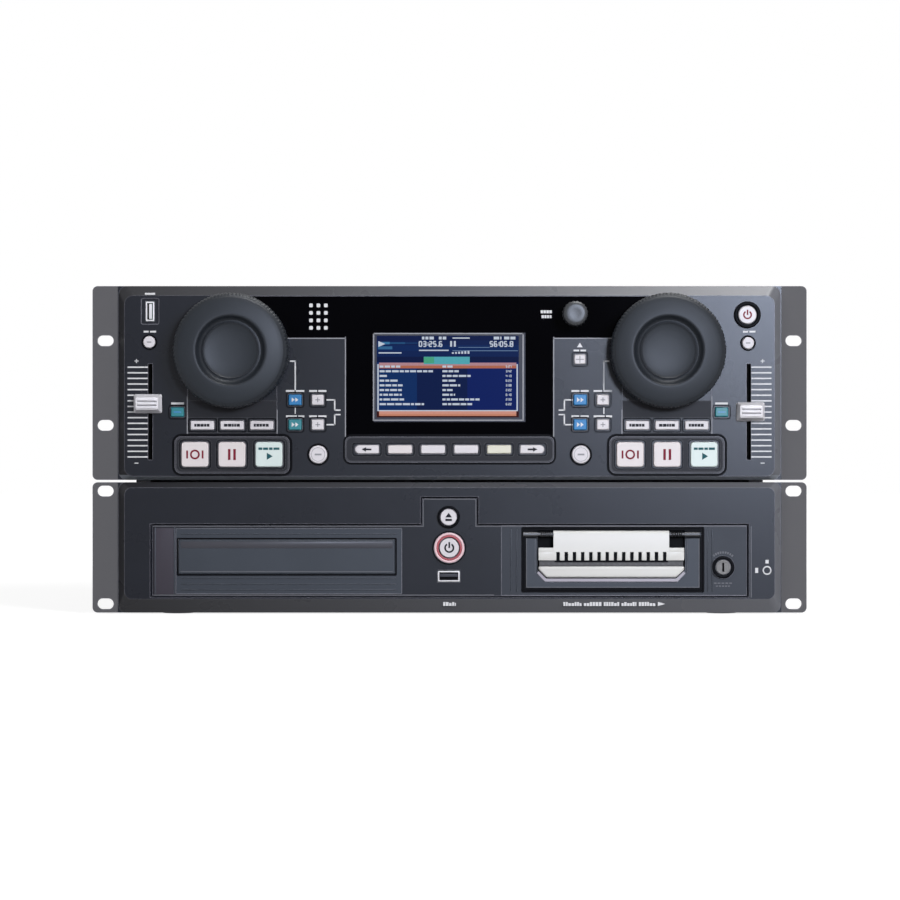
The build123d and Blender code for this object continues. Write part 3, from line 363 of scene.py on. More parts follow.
def build_bevel_light_paint_group():
    """Masks for painted light on the slopes that frame a front: all of them, their share to the right where
    the painted light grows, and one lower rim painted lighter.
    """
    shading, given, result = new_group(
        "painted_bevel_light",
        {"Flat From": 0.97, "Edge From": 0.50, "Half Width": 0.24, "Rim Height": 0.0919,
         "Rim Reach": 0.0022, "Down From": -0.3, "Slope From": 0.3},
        ("Mask", "Painted Light Share", "Painted Lit Rim"))
    facing, place = shading.axes("Normal"), shading.axes("Position")
    front = shading.math("ABSOLUTE", facing["Y"])
    not_flat = shading.math("LESS_THAN", front, given["Flat From"])
    not_edge = shading.math("GREATER_THAN", front, given["Edge From"])
    share = shading.math("DIVIDE", place["X"], given["Half Width"])
    down = shading.math("LESS_THAN", facing["Z"], given["Down From"])
    sloping = shading.math("GREATER_THAN", front, given["Slope From"])
    near_rim = shading.math("COMPARE", place["Z"], given["Rim Height"], given["Rim Reach"])
    shading.feed(result, {
        "Mask": shading.math("MULTIPLY", not_flat, not_edge),
        "Painted Light Share": shading.math("MULTIPLY_ADD", share, 0.5, 0.5, clamp=True),
        "Painted Lit Rim": shading.math("MULTIPLY", sloping, shading.math("MULTIPLY", down, near_rim))})
    return shading.tree


GRAIN = build_grain_group()
EDGE_WEAR_AND_HIGHLIGHT = build_edge_wear_and_highlight_group()
DUST = build_dust_group()
SIDE_ZONE = build_side_zone_group()
BEVEL_LIGHT_PAINT = build_bevel_light_paint_group()
REAR_ZONE = build_rear_zone_group()
DUST_TONE = (0.42, 0.41, 0.39)
EAR_EXTRA_ROUGHNESS = 0.4


# ---------------------------------------------------------------- materials
def shade(colour, factor):
    return tuple(min(c * factor, 1.0) for c in colour)


def new_material(name):
    """A material, the shading of its tree and the inputs of its shader."""
    material = bpy.data.materials.new(name)
    material.use_nodes = True
    return material, Shading(material.node_tree), material.node_tree.nodes["Principled BSDF"].inputs


def finish_material(name, base, tint=None, rough=0.5, change=0.12, cloud=30.0, grain=1500.0, bump=0.15,
                    edge=None, edge_radius=0.5, edge_strength=2.0, dust=0.0, specular=0.5, glow=0.0,
                    ears=None, painted_bevel_tones=None):
    """A grained surface, with optional painted light on the bevels, ear tones, edges tinted as wear and
    painted highlight, settled dust and glow.
    """
    material, shading, shader = new_material(name)
    surface = shading.group(GRAIN, {
        "Base": base, "Tint": tint or tuple(min(c * 1.25 + 0.004, 1.0) for c in base),
        "Cloud Scale": cloud, "Grain Scale": grain, "Roughness": rough, "Roughness Change": change})
    colour, roughness = surface["Color"], surface["Roughness"]
    # Painted light: bevels lighter than the face, painted shade to the left and painted light to the right,
    # and one lower rim painted lit.
    if painted_bevel_tones:
        bevel_light_masks = shading.group(BEVEL_LIGHT_PAINT)
        shaded_left_tone, lit_right_tone, lit_rim_tone = painted_bevel_tones
        tone = shading.mix(bevel_light_masks["Painted Light Share"], shaded_left_tone, lit_right_tone)
        colour = shading.mix(bevel_light_masks["Mask"], colour, tone)
        colour = shading.mix(bevel_light_masks["Painted Lit Rim"], colour, lit_rim_tone)
    if ears:
        zone = shading.group(SIDE_ZONE, {"Half Width": EAR_START * MM})["Mask"]
        colour = shading.mix(zone, colour, ears)
        roughness = shading.math("MULTIPLY_ADD", zone, EAR_EXTRA_ROUGHNESS, roughness)
    # Edge colour: partly wear, partly a painted highlight along the edges.
    if edge:
        wear_and_highlight = shading.group(EDGE_WEAR_AND_HIGHLIGHT, {"Radius": edge_radius * MM, "Strength": edge_strength})
        colour = shading.mix(wear_and_highlight["Mask"], colour, edge)
    if dust:
        colour = shading.mix(shading.group(DUST, {"Amount": dust})["Mask"], colour, DUST_TONE)
    shading.feed(shader, {"Base Color": colour, "Roughness": roughness, "Specular IOR Level": specular,
                          "Normal": shading.relief(surface["Height"], bump)})
    if glow:
        shading.feed(shader, {"Emission Color": colour, "Emission Strength": glow})
    return material


def tone_behind(material, depth, colour, metal):
    """Gives what lies further back than a depth another colour, as metal or not."""
    shading = Shading(material.node_tree)
    shader = material.node_tree.nodes["Principled BSDF"].inputs
    zone = shading.group(REAR_ZONE, {"Behind": FACE_Y + depth * MM})["Mask"]
    before = shader["Base Color"].links[0].from_socket
    shading.feed(shader, {"Base Color": shading.mix(zone, before, colour)})
    plain = shader["Metallic"].default_value
    if metal != plain:
        shading.feed(shader, {"Metallic": shading.map_range(zone, To_Min=plain, To_Max=metal)})


def brushed_material(name, base, rough, stretch, metal=1.0, specular=0.5):
    """Metal with fine brushing: noise drawn out along one axis."""
    material, shading, shader = new_material(name)
    place = shading.add("ShaderNodeTexCoord").outputs["Object"]
    drawn = shading.add("ShaderNodeMapping", {"Vector": place, "Scale": stretch}).outputs["Vector"]
    lines = shading.noise(Vector=drawn, Scale=1.0, Detail=5.0)
    shading.feed(shader, {
        "Base Color": shading.mix(lines, shade(base, 0.82), base),
        "Roughness": shading.map_range(lines, To_Min=rough * 0.7, To_Max=rough * 1.3),
        "Normal": shading.relief(lines, 0.12), "Metallic": metal, "Specular IOR Level": specular})
    return material


def lit_material(name, colour):
    """A part of the lit screen: faint pixel grain in its own light, on black."""
    material, shading, shader = new_material(name)
    tone = shading.mix(shading.noise(Scale=900.0), shade(colour, 0.85), shade(colour, 1.1))
    shading.feed(shader, {"Emission Color": tone, "Emission Strength": 1.0, "Roughness": 0.2,
                          "Base Color": (0.002, 0.002, 0.003), "Specular IOR Level": 0.02})
    return material


# The panel's bevel tones are painted light and shade (dark left, lit right, lit lower rim), and its edge
# colour is a painted highlight.
PANEL = finish_material(
    "panel_paint", (0.003, 0.004, 0.008), (0.005, 0.006, 0.011), rough=0.28, change=0.05, grain=2600.0,
    bump=0.12, edge=(0.20, 0.20, 0.24), edge_radius=0.8, edge_strength=4.5, specular=0.18,
    ears=(0.087, 0.086, 0.093), painted_bevel_tones=((0.017, 0.017, 0.020), (0.128, 0.132, 0.150), (0.20, 0.215, 0.245)))
CASE = finish_material(
    "case_paint", (0.014, 0.014, 0.016), (0.016, 0.016, 0.018), rough=0.62, change=0.03, grain=1400.0,
    bump=0.6, edge=(0.12, 0.12, 0.13), dust=0.10, specular=0.22)
WINDOW = finish_material(
    "window_black", (0.0005, 0.0005, 0.001), (0.001, 0.001, 0.002), rough=0.08, change=0.06, cloud=18.0,
    bump=0.0, specular=0.015, edge=(0.06, 0.06, 0.08), edge_radius=0.4)
SCREEN_FRAME = finish_material("screen_frame", (0.020, 0.022, 0.034), rough=0.38, bump=0.1, specular=0.12)

BOARD_STYLE = dict(base=(0.012, 0.085, 0.040), tint=(0.020, 0.130, 0.060), rough=0.4, cloud=260.0)
BOARD = finish_material("circuit_board", **BOARD_STYLE)
SOCKET_BOARD = finish_material("socket_board", **BOARD_STYLE)
SOCKET_BLACK, SOCKET_GOLD = (0.010, 0.010, 0.011), (0.62, 0.46, 0.20)
tone_behind(SOCKET_BOARD, SOCKETS_FROM, SOCKET_BLACK, 0.0)
tone_behind(SOCKET_BOARD, SOCKET_TIPS_FROM, SOCKET_GOLD, 1.0)

JOG = finish_material(
    "jog_rubber", (0.007, 0.009, 0.013), (0.010, 0.013, 0.018), rough=0.48, change=0.08, cloud=45.0,
    grain=2200.0, bump=0.22, edge=(0.06, 0.06, 0.075), edge_radius=0.7, specular=0.23)
KNOB = finish_material("knob_plastic", (0.018, 0.020, 0.024), rough=0.40, bump=0.2, specular=0.4)

PALE_KEY = dict(rough=0.36, change=0.08, cloud=60.0, bump=0.08, edge_strength=1.5, specular=0.2)
WHITE_KEY = finish_material(
    "white_key", (0.54, 0.52, 0.56), (0.61, 0.59, 0.63), edge=(0.34, 0.32, 0.37), **PALE_KEY)
WARM_KEY = finish_material(
    "warm_key", (0.57, 0.53, 0.55), (0.64, 0.60, 0.62), edge=(0.38, 0.30, 0.33), **PALE_KEY)
GREEN_KEY = finish_material(
    "green_key", (0.52, 0.60, 0.60), (0.59, 0.67, 0.67), edge=(0.26, 0.38, 0.36), **PALE_KEY)
CREAM_KEY = finish_material(
    "cream_key", (0.56, 0.55, 0.47), (0.63, 0.62, 0.55), edge=(0.38, 0.36, 0.30), **PALE_KEY)
DEEP_KEY = dict(rough=0.34, bump=0.08, specular=0.2)
BLUE_KEY = finish_material(
    "blue_key", (0.018, 0.14, 0.36), (0.030, 0.20, 0.46), edge=(0.14, 0.34, 0.54), **DEEP_KEY)
TEAL_KEY = finish_material(
    "teal_key", (0.022, 0.16, 0.20), (0.034, 0.21, 0.25), edge=(0.12, 0.34, 0.38), **DEEP_KEY)
FADER = finish_material(
    "fader_cap", (0.66, 0.65, 0.70), (0.72, 0.71, 0.76), rough=0.30, bump=0.1, specular=0.3,
    edge=(0.26, 0.26, 0.32))

MOULDED = dict(grain=2000.0, edge_radius=0.6, edge_strength=2.2)
DRIVE = finish_material(
    "drive_plastic", (0.018, 0.022, 0.031), (0.023, 0.028, 0.038), rough=0.42, bump=0.2,
    edge=(0.20, 0.21, 0.25), specular=0.22, **MOULDED)
BAY = finish_material(
    "bay_plastic", (0.009, 0.011, 0.016), (0.012, 0.014, 0.020), rough=0.42, bump=0.2,
    edge=(0.14, 0.14, 0.17), specular=0.2, **MOULDED)
TRAY = finish_material(
    "tray_plastic", (0.022, 0.027, 0.037), (0.027, 0.033, 0.044), rough=0.36, bump=0.16,
    edge=(0.20, 0.22, 0.26), specular=0.22, **MOULDED)
TRAY_BAND = finish_material(
    "tray_band", (0.036, 0.036, 0.046), (0.042, 0.042, 0.052), rough=0.36, bump=0.16, specular=0.22,
    grain=2000.0)
WING = finish_material(
    "bezel_wing", (0.043, 0.039, 0.051), (0.050, 0.045, 0.058), rough=0.5, bump=0.2, specular=0.08,
    grain=2000.0)
HANDLE = finish_material(
    "handle_plastic", (0.58, 0.58, 0.58), (0.64, 0.64, 0.64), rough=0.36, bump=0.06,
    edge=(0.42, 0.42, 0.45), edge_radius=0.4, edge_strength=1.2, specular=0.2)
# Pale colour of the lip under the grip: a painted highlight on that edge.
LIP_HIGHLIGHT = finish_material(
    "handle_lip_highlight", (0.26, 0.24, 0.29), (0.32, 0.30, 0.35), rough=0.34, bump=0.06, specular=0.4)
BAND = finish_material(
    "handle_band", (0.060, 0.060, 0.066), (0.085, 0.085, 0.092), rough=0.4, cloud=700.0, bump=0.3,
    specular=0.3)

PRINT = dict(rough=0.5, cloud=200.0, bump=0.1)
INK = finish_material("white_ink", (0.50, 0.50, 0.52), (0.58, 0.58, 0.60), **PRINT)
GREY_INK = finish_material("grey_ink", (0.16, 0.16, 0.18), (0.21, 0.21, 0.23), **PRINT)
DARK_INK = finish_material("dark_ink", (0.005, 0.005, 0.008), (0.010, 0.010, 0.014), specular=0.1, **PRINT)
RED_INK = finish_material("red_ink", (0.13, 0.006, 0.018), (0.18, 0.010, 0.026), specular=0.1, **PRINT)
TEAL_INK = finish_material("teal_ink", (0.008, 0.060, 0.075), (0.014, 0.085, 0.10), specular=0.1, **PRINT)

FOOT = finish_material("foot_rubber", (0.008, 0.008, 0.009), rough=0.85, bump=0.4, specular=0.15)
FELT = finish_material("slot_felt", (0.003, 0.003, 0.003), rough=0.95, bump=0.6, specular=0.1)
# Black for real trims, and also for painted shade in gaps, recesses and behind slots.
BLACK_TRIM_AND_SHADE = finish_material(
    "black_trim_and_painted_shade", (0.001, 0.001, 0.002), (0.003, 0.003, 0.004), rough=0.4, bump=0.1, specular=0.03)
KEY_PLATE = finish_material(
    "key_plate", (0.012, 0.012, 0.015), (0.016, 0.016, 0.020), rough=0.45, grain=2200.0,
    edge=(0.16, 0.16, 0.18), specular=0.1)
TONGUE = finish_material("socket_tongue", (0.50, 0.50, 0.53), rough=0.45, bump=0.1)
GREY_TONGUE = finish_material("grey_tongue", (0.050, 0.052, 0.066), bump=0.1, specular=0.08)
SHELL = finish_material("socket_shell", (0.62, 0.62, 0.66), rough=0.3, bump=0.06, specular=0.3)
LIT_RING = dict(rough=0.4, bump=0.05, specular=0.2)
RING_PINK = finish_material("ring_pink", (0.62, 0.42, 0.47), (0.68, 0.50, 0.54), glow=0.12, **LIT_RING)
RING_RED = finish_material("ring_red", (0.30, 0.060, 0.075), (0.36, 0.085, 0.10), glow=0.1, **LIT_RING)
# Grey for painted highlight lines round the raised plates.
HIGHLIGHT_GREY = finish_material("relief_highlight_grey", (0.030, 0.030, 0.036), rough=0.4, bump=0.1, specular=0.15)
# Grey for the lock's print and for painted highlight lines along edges.
HIGHLIGHT_AND_PRINT_GREY = finish_material("highlight_and_print_grey", (0.085, 0.087, 0.100), rough=0.4, bump=0.1, specular=0.15)

STEEL = brushed_material("bright_steel", (0.20, 0.205, 0.22), 0.5, (900.0, 900.0, 60.0))
LOCK_STEEL = brushed_material(
    "lock_steel", (0.20, 0.20, 0.21), 0.4, (60.0, 60.0, 900.0), metal=0.0, specular=0.1)
ROD_STEEL = brushed_material("rod_steel", (0.085, 0.085, 0.088), 0.5, (60.0, 900.0, 900.0))
SUPPLY = brushed_material("supply_steel", (0.42, 0.43, 0.44), 0.38, (40.0, 900.0, 900.0))
tone_behind(SUPPLY, INLET_FROM, SOCKET_BLACK, 0.0)

# The first name that a node starts with gives its finish; other nodes are white keys.
NODE_FINISHES = {
    "control_front_panel": PANEL, "drive_front_panel": PANEL, "display_window": WINDOW,
    "display_screen": SCREEN_FRAME, "control_board": BOARD, "main_board": SOCKET_BOARD,
    "control_rear_case": CASE, "drive_chassis": CASE, "drive_top_cover": CASE, "rubber_feet": FOOT,
    "screws": STEEL, "disc_drive_frame": DRIVE, "cartridge_bay": BAY, "drive_cartridge": DRIVE,
    "disc_tray": TRAY, "disc_spindle": STEEL, "power_supply": SUPPLY, "key_cylinder": LOCK_STEEL,
    "browse_knob": KNOB, "cartridge_handle": HANDLE, "soft_key_2": WARM_KEY, "soft_key_5": CREAM_KEY,
    "blue_button_left_lower": TEAL_KEY, "blue_button": BLUE_KEY, "pitch_button": TEAL_KEY,
    "pitch_fader": FADER, "jog_wheel": JOG, "cue_button": WARM_KEY, "pause_button": WARM_KEY,
    "play_button": GREEN_KEY,
}


def dress_cad_nodes():
    """Gives every carried-over node its finish."""
    for node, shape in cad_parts.items():
        shape.data.materials.clear()
        finishes = (NODE_FINISHES[start] for start in NODE_FINISHES if node.startswith(start))
        shape.data.materials.append(next(finishes, WHITE_KEY))


# ---------------------------------------------------------------- print
INK_FRONT, INK_BACK = -0.07, 0.06


def mark(piece, x, rise, width, height, lift=0.0):
    """One printed bar, standing a hair in front of the surface at a lift towards the viewer."""
    piece.prism(bar(x, rise, width, height), INK_FRONT - lift, INK_BACK - lift)


def dashes(piece, x, rise, width, height, seed=1, words=3):
    """A label place filled with a short row of dashes."""
    chance = random.Random(seed)
    shares = [chance.uniform(0.7, 1.3) for _ in range(words)]
    gap = 0.9
    room = width - gap * (words - 1)
    left = x - width / 2
    for share in shares:
        length = room * share / sum(shares)
        mark(piece, left + length / 2, rise, length, height)
        left += length + gap


def label_blocks(piece, x, rise, width, height, lift, seed, words):
    """A label place filled with words of small blocks."""
    chance = random.Random(seed)
    block_gap, word_gap, least = 0.35, 1.2, 0.7
    left, end = x - width / 2, x + width / 2
    for word in range(words):
        word_end = left + (end - left) / (words - word) * chance.uniform(0.85, 1.1)
        if word == words - 1:
            word_end = end
        while left < word_end - least:
            block = min(chance.uniform(1.2, 2.0), word_end - left)
            tall = height * chance.choice((1.0, 1.0, 0.72))
            mark(piece, left + block / 2, rise - (height - tall) / 2, block, tall, lift)
            left += block + block_gap
        left += word_gap


def list_line(piece, left, rise, width, height, depth, seed):
    """A line of the lit list as dashes of uneven length."""
    chance = random.Random(seed)
    gap, least = 0.7, 0.8
    end = left + width
    while left < end - least:
        length = min(chance.uniform(1.6, 5.2), end - left)
        piece.bars(depth, depth + 0.08, (left + length / 2, rise, length, height))
        left += length + gap


def make_control_print():
    """White print of the control panel: fader scales, label places, brackets and signs."""
    scale = [(TICK_X, FADER_RISE + (number - (TICK_COUNT - 1) / 2) * TICK_PITCH, 13.6, 0.9)
             for number in range(TICK_COUNT)]
    scale_signs = [(SIGN_X, FADER_RISE + SIGN_RISE, 2.6, 0.6), (SIGN_X, FADER_RISE + SIGN_RISE, 0.6, 2.6),
                   (SIGN_X, FADER_RISE - SIGN_RISE, 2.6, 0.6)]
    brackets = [(183.3, -13.9, 8.6, 1.4), (104.0, 4.9, 0.9, 19.6), (105.6, 14.6, 4.0, 0.9),
                (104.0, -18.6, 0.7, 4.6), (80.0, -11.5, 6.0, 0.9), (80.0, -28.2, 6.0, 0.9),
                (77.4, -15.0, 0.9, 7.6), (77.4, -24.8, 0.9, 7.6), (75.6, -18.4, 4.2, 0.9),
                (75.6, -21.4, 4.2, 0.9)]
    with Piece("control_print", INK, "white_key") as ink:
        for sign, outer, inner in ((-1, -104.1, -88.8), (1, 103.3, 88.0)):
            for reach, *rest in scale + scale_signs + brackets:
                mark(ink, sign * reach, *rest)
            dashes(ink, sign * 202.0, 34.5, 8.4, 1.2, seed=3, words=2)
            for rise in (-5.5, -22.6):
                dashes(ink, outer, rise, 12.4, 1.3, seed=7 + int(rise), words=2)
                dashes(ink, inner, rise, 11.6, 1.3, seed=11 + int(rise), words=2)
        dashes(ink, -201.9, 60.0, 7.0, 1.3, seed=5, words=1)
        for row, width in ((47.9, 8.4), (44.6, 7.2)):
            label_blocks(ink, 65.6, row, width, 2.0, lift=-0.3, seed=int(row), words=1)
        dashes(ink, 87.8, 21.8, 8.4, 1.2, seed=23, words=2)
        ink.prism([(85.9, 24.0), (89.7, 24.0), (87.8, 27.0)], INK_FRONT, INK_BACK)
        for column in range(3):
            for row in range(4):
                square = rounded_box(-93.4 + 5.0 * column, 52.2 - 5.05 * row, 2.5, 2.5, 0.7)
                ink.prism(square, 0.3 + INK_FRONT, 0.3 + INK_BACK)


def make_control_outlines():
    """Grey lines round the sub-panels beside the screen and beside the loop keys."""
    with Piece("control_outlines", GREY_INK, "panel_paint") as line:
        for sign in (-1, 1):
            for reach, *rest in ((70.2, -11.0, 0.7, 84.0), (90.0, 30.0, 40.0, 0.7),
                                 (116.2, -27.0, 0.6, 18.0), (176.8, -22.0, 0.6, 26.0)):
                mark(line, sign * reach, *rest)


# ---------------------------------------------------------------- screen
SEGMENTS = {
    "0": "abcdef", "1": "bc", "2": "abged", "3": "abgcd", "4": "fgbc",
    "5": "afgcd", "6": "afgedc", "7": "abc", "8": "abcdefg", "9": "abcdfg",
}
SEGMENT_PLACES = {
    "a": (0, 2), "g": (0, 0), "d": (0, -2), "f": (-1, 1), "b": (1, 1), "e": (-1, -1), "c": (1, -1),
}


def digit(piece, x, rise, height, figure, depth, mirrored=False):
    """One seven-segment figure; x and rise are its middle. A mirrored one reads right from behind."""
    width, stroke = height * 0.52, height * 0.24
    for name in SEGMENTS[figure]:
        side, level = SEGMENT_PLACES[name]
        size = (stroke, height / 2) if side else (width, stroke)
        shift = (-side if mirrored else side) * width / 2
        piece.bars(depth, depth + 0.08, (x + shift, rise + level * height / 4, *size))


def figures(piece, x, rise, height, text, depth):
    """A row of figures with points and colons between them, from x to the right."""
    for sign in text:
        if sign in SEGMENTS:
            digit(piece, x, rise, height, sign, depth)
            x += height * 0.88
        else:
            for level in ((-0.2, 0.2) if sign == ":" else (-0.45,)):
                dot = height * 0.22
                piece.bars(depth, depth + 0.08, (x - height * 0.16, rise + level * height, dot, dot))
            x += height * 0.36


def make_screen():
    """The lit picture: a header with times, a progress bar and a list between two orange bars."""
    back, low, top = SCREEN_DEPTH - 0.1, SCREEN_DEPTH - 0.2, SCREEN_DEPTH - 0.3
    header_edges = (SCREEN_TOP, 28.6, 25.4, 21.6, 17.6, 13.9)
    header_tones = ((0.004, 0.011, 0.060), (0.004, 0.014, 0.075), (0.003, 0.019, 0.095),
                    (0.003, 0.015, 0.080), (0.002, 0.008, 0.050))
    glints = ((-48.2, -40.4, 26.0, 27.6, (0.04, 0.17, 0.34)), (-40.4, -30.0, 26.2, 27.4, (0.014, 0.07, 0.18)),
              (-30.0, -21.6, 26.4, 27.2, (0.008, 0.04, 0.13)), (-48.2, -38.6, 22.6, 24.6, (0.03, 0.12, 0.26)))
    areas = [(f"screen_header_{number}", SCREEN_LEFT, SCREEN_RIGHT, header_edges[number + 1],
              header_edges[number], back, tone) for number, tone in enumerate(header_tones)]
    areas += [(f"screen_glint_{number}", *box, low + 0.02, tone)
              for number, (*box, tone) in enumerate(glints)]
    areas += [
        ("screen_list_left", SCREEN_LEFT, -22.0, -19.0, 13.9, back, (0.003, 0.024, 0.11)),
        ("screen_list_middle", -22.0, 12.0, -19.0, 13.9, back, (0.002, 0.010, 0.060)),
        ("screen_list_right", 12.0, SCREEN_RIGHT, -19.0, 13.9, back, (0.002, 0.012, 0.105)),
        ("screen_foot", SCREEN_LEFT, SCREEN_RIGHT, SCREEN_BOTTOM, -19.0, back, (0.035, 0.006, 0.006)),
        ("screen_bar_top", -47.5, 45.0, 11.6, 13.6, low, (0.41, 0.22, 0.25)),
        ("screen_bar_top_low", -47.5, 45.0, 9.8, 11.6, low, (0.40, 0.13, 0.075)),
        ("screen_bar_bottom", -47.5, 45.0, -22.2, -18.9, low, (0.58, 0.27, 0.21)),
        ("screen_bar_bottom_low", -47.5, 45.0, -22.3, -20.9, top, (0.54, 0.22, 0.14)),
        ("screen_progress", -17.4, 13.6, 12.6, 17.6, top, (0.075, 0.36, 0.42)),
        ("screen_progress_start", -17.4, -10.4, 13.2, 17.4, top - 0.05, (0.06, 0.34, 0.20)),
    ]
    for name, left, right, bottom, high, front, tone in areas:
        with Piece(name, lit_material(name + "_light", tone), "screen") as plate:
            plate.boxes(front, SCREEN_DEPTH, (left, right, bottom, high))
    with Piece("screen_lettering", lit_material("screen_white", (0.50, 0.56, 0.66)), "screen") as white:
        white.prism([(-43.4, 26.2), (-48.0, 28.2), (-48.0, 24.2)], top, low)
        figures(white, -19.6, 26.2, 3.2, "03:25.6", top)
        figures(white, 28.2, 26.2, 3.2, "56:05.8", top)
        for number, (x, width) in enumerate(((-14.6, 8.0), (-4.2, 6.0), (32.4, 5.2), (40.6, 7.6))):
            list_line(white, x - width / 2, 30.2, width, 1.9, top, 31 + number)
        white.boxes(
            top, low, (0.4, 1.7, 24.4, 28.2), (2.9, 4.2, 24.4, 28.2), (-20.6, -0.6, 21.5, 22.3),
            (-47.8, -32.4, 19.8, 20.6), (2.0, 13.6, 29.8, 30.6), (-48.65, -47.75, -19.0, 12.6),
            (45.15, 46.05, -19.0, 12.6),
            *((1.6 + 2.1 * number, 2.9 + 2.1 * number, 19.6, 20.6 + 0.2 * number) for number in range(6)))
        lengths = (14.0, 37.5, 6.0, 13.5, 15.5, 15.0, 15.0, 17.0, 30.0)
        others = (8.0, 11.0, 19.0, 9.0, 12.0, 7.0, 8.5, 25.0, 20.0)
        for number, (first, second) in enumerate(zip(lengths, others)):
            rise = 11.0 - 3.17 * number
            chance = random.Random(50 + number)
            list_line(white, -47.2, rise, first, 1.35, top, 60 + number)
            list_line(white, -4.8, rise, second, 1.35, top, 80 + number)
            figures(white, 38.4, rise, 1.35, f"{chance.randint(2, 6)}:{chance.randint(10, 59)}", top)
        white.boxes(top - 0.02, low, (-48.2, 45.6, -19.1, -18.4))
    with Piece("screen_rules", lit_material("screen_rule", (0.12, 0.20, 0.34)), "screen") as thin:
        thin.boxes(top, low, (2.0, 46.0, 21.4, 21.9), (6.0, 27.0, 23.7, 24.1))
    with Piece("screen_outline", GREY_INK, "screen") as outline:
        outline.bars(0.22, 0.45, (-51.2, 4.2, 0.9, 58.6), (49.6, 4.2, 0.9, 58.6),
                     (-0.8, 33.2, 101.8, 0.8), (-0.8, -25.2, 101.8, 0.8))


# ---------------------------------------------------------------- jog wheels, faders and knob
JOG_PROFILE = [
    (0.0, -16.2), (7.0, -16.3), (13.0, -16.8), (17.0, -17.5), (18.3, -17.9), (18.6, -18.2), (19.0, -17.9),
    (20.2, -17.7), (21.2, -18.3), (22.2, -19.8), (22.9, -21.3), (23.4, -21.85), (24.2, -22.0),
    (25.2, -21.95), (28.5, -21.5), (32.5, -20.8), (35.2, -20.1), (36.0, -19.75), (36.3, -19.35),
    (36.8, -19.2), (37.6, -18.7), (38.3, -17.7), (38.72, -16.2), (38.72, -11.0), (38.72, -5.6),
    (38.2, -4.2), (37.0, -3.4), (36.6, -0.9), (5.0, -0.9), (5.0, 6.0), (0.0, 6.0),
]
KNOB_PROFILE = [
    (0.0, -12.6), (3.0, -12.7), (5.6, -12.9), (7.0, -12.6), (7.9, -11.9), (8.3, -10.8), (8.6, -8.0),
    (8.8, -1.6), (8.5, -0.7), (8.0, -0.4), (3.0, -0.4), (3.0, 4.0), (0.0, 4.0),
]
FADER_STEPS = (
    (14.6, 7.6, 0.8, -9.6), (15.2, 8.2, 0.9, -9.4), (15.6, 8.8, 1.0, -8.6), (16.8, 10.4, 1.1, -5.0),
    (18.4, 12.2, 1.2, -2.0), (19.0, 12.8, 1.3, -1.3), (18.8, 12.6, 1.2, -1.0),
)


def make_jog(side):
    """Rubber wheel: toothed rim band, coned ring, lip and a hollow dish with its inner plate."""
    def tooth(angle, radius, depth):
        if radius < JOG_BAND_RADIUS or depth > -5.0:
            return 0.0
        return -0.4 if (angle * JOG_TEETH / (2 * math.pi)) % 1.0 > 0.6 else 0.0

    node = f"jog_wheel_{side}"
    with Piece(f"jog_{side}_rubber", JOG, "jog_rubber", body=node, sharp=40, replaces=[node]) as wheel:
        wheel.lathe(DECKS[side], JOG_RISE, JOG_PROFILE, JOG_TEETH * 5, tooth)


def make_knob():
    """Browse knob with a domed top and a softly fluted skirt."""
    def flute(angle, radius, depth):
        if radius < KNOB_RADIUS - 1.2 or depth < -11.0 or depth > -0.6:
            return 0.0
        return -0.22 * (1 + math.cos(angle * KNOB_FLUTES))

    node = "browse_knob"
    with Piece("browse_knob_cap", KNOB, "knob_plastic", body=node, sharp=40, replaces=[node]) as knob:
        knob.lathe(KNOB_X, KNOB_RISE, KNOB_PROFILE, KNOB_FLUTES * 12, flute)


def make_fader_cap(side):
    """Silver fader cap: sloped sides, a raised top field with grip lines and the lever behind."""
    node = f"pitch_fader_{side}"
    x, rise, _ = place_of(node)
    lever = (-1 if side == "left" else 1) * FADER_X
    with Piece(f"fader_{side}_cap", FADER, "fader_cap", body=node, sharp=30, replaces=[node]) as cap:
        cap.stack([(rounded_box(x, rise, *size), depth) for *size, depth in FADER_STEPS])
        for offset in (-2.6, 0.0, 2.6):
            cap.slab(x, rise + offset, 13.0, 1.1, 0.4, -10.3, -9.2, 0.25)
        cap.bars(-1.5, 5.0, (lever, rise, 2.2, 4.0))
    with Piece(f"fader_{side}_lines", DARK_INK, "fader_cap", body=node) as line:
        line.bars(-9.68, -9.3, (x, rise - 1.3, 13.2, 0.4), (x, rise + 1.3, 13.2, 0.4))


# ---------------------------------------------------------------- signs on the keys
def make_sign(name, node, ink, outlines, slot="white_key", unit_z=CONTROL_Z, centre=None):
    """Thin printed shapes on a key's front, each an outline round the key's middle or a given one."""
    x, rise, depth = place_of(node, unit_z)
    x, rise = centre or (x, rise)
    with Piece(name, ink, slot, unit_z, node) as sign:
        for outline in outlines:
            sign.prism([(x + px, rise + pz) for px, pz in outline], depth - 0.06, depth + 0.05)


def make_transport_signs():
    """Signs of the six large keys: a ring for cueing, two bars for pause, an arrow for play."""
    cue = ring_pieces(2.1, 3.3, 0, 360, 28) + [bar(-5.2, 0, 1.2, 5.4), bar(5.2, 0, 1.2, 5.4)]
    pause = [bar(-1.8, 0, 1.7, 7.4), bar(1.8, 0, 1.7, 7.4)]
    play = [[(-1.4, -3.6), (2.6, -1.2), (-1.4, 1.2)]]
    play += [bar(left + length / 2, 3.9, length, 1.6)
             for left, length in ((-7.0, 2.6), (-3.9, 3.4), (0.1, 2.4), (3.1, 4.0))]
    signs = (("cue", RED_INK, cue), ("pause", RED_INK, pause), ("play", TEAL_INK, play))
    for side in DECKS:
        for kind, ink, outlines in signs:
            make_sign(f"{kind}_sign_{side}", f"{kind}_button_{side}", ink, outlines)


def loop_blocks(number):
    """A short row of blocks for a loop key."""
    chance = random.Random(number)
    blocks, left = [], -5.4
    while left < 4.6:
        length = chance.uniform(1.2, 2.4)
        blocks.append(bar(left + length / 2, 0, length, 1.9))
        left += length + 0.3
    return blocks


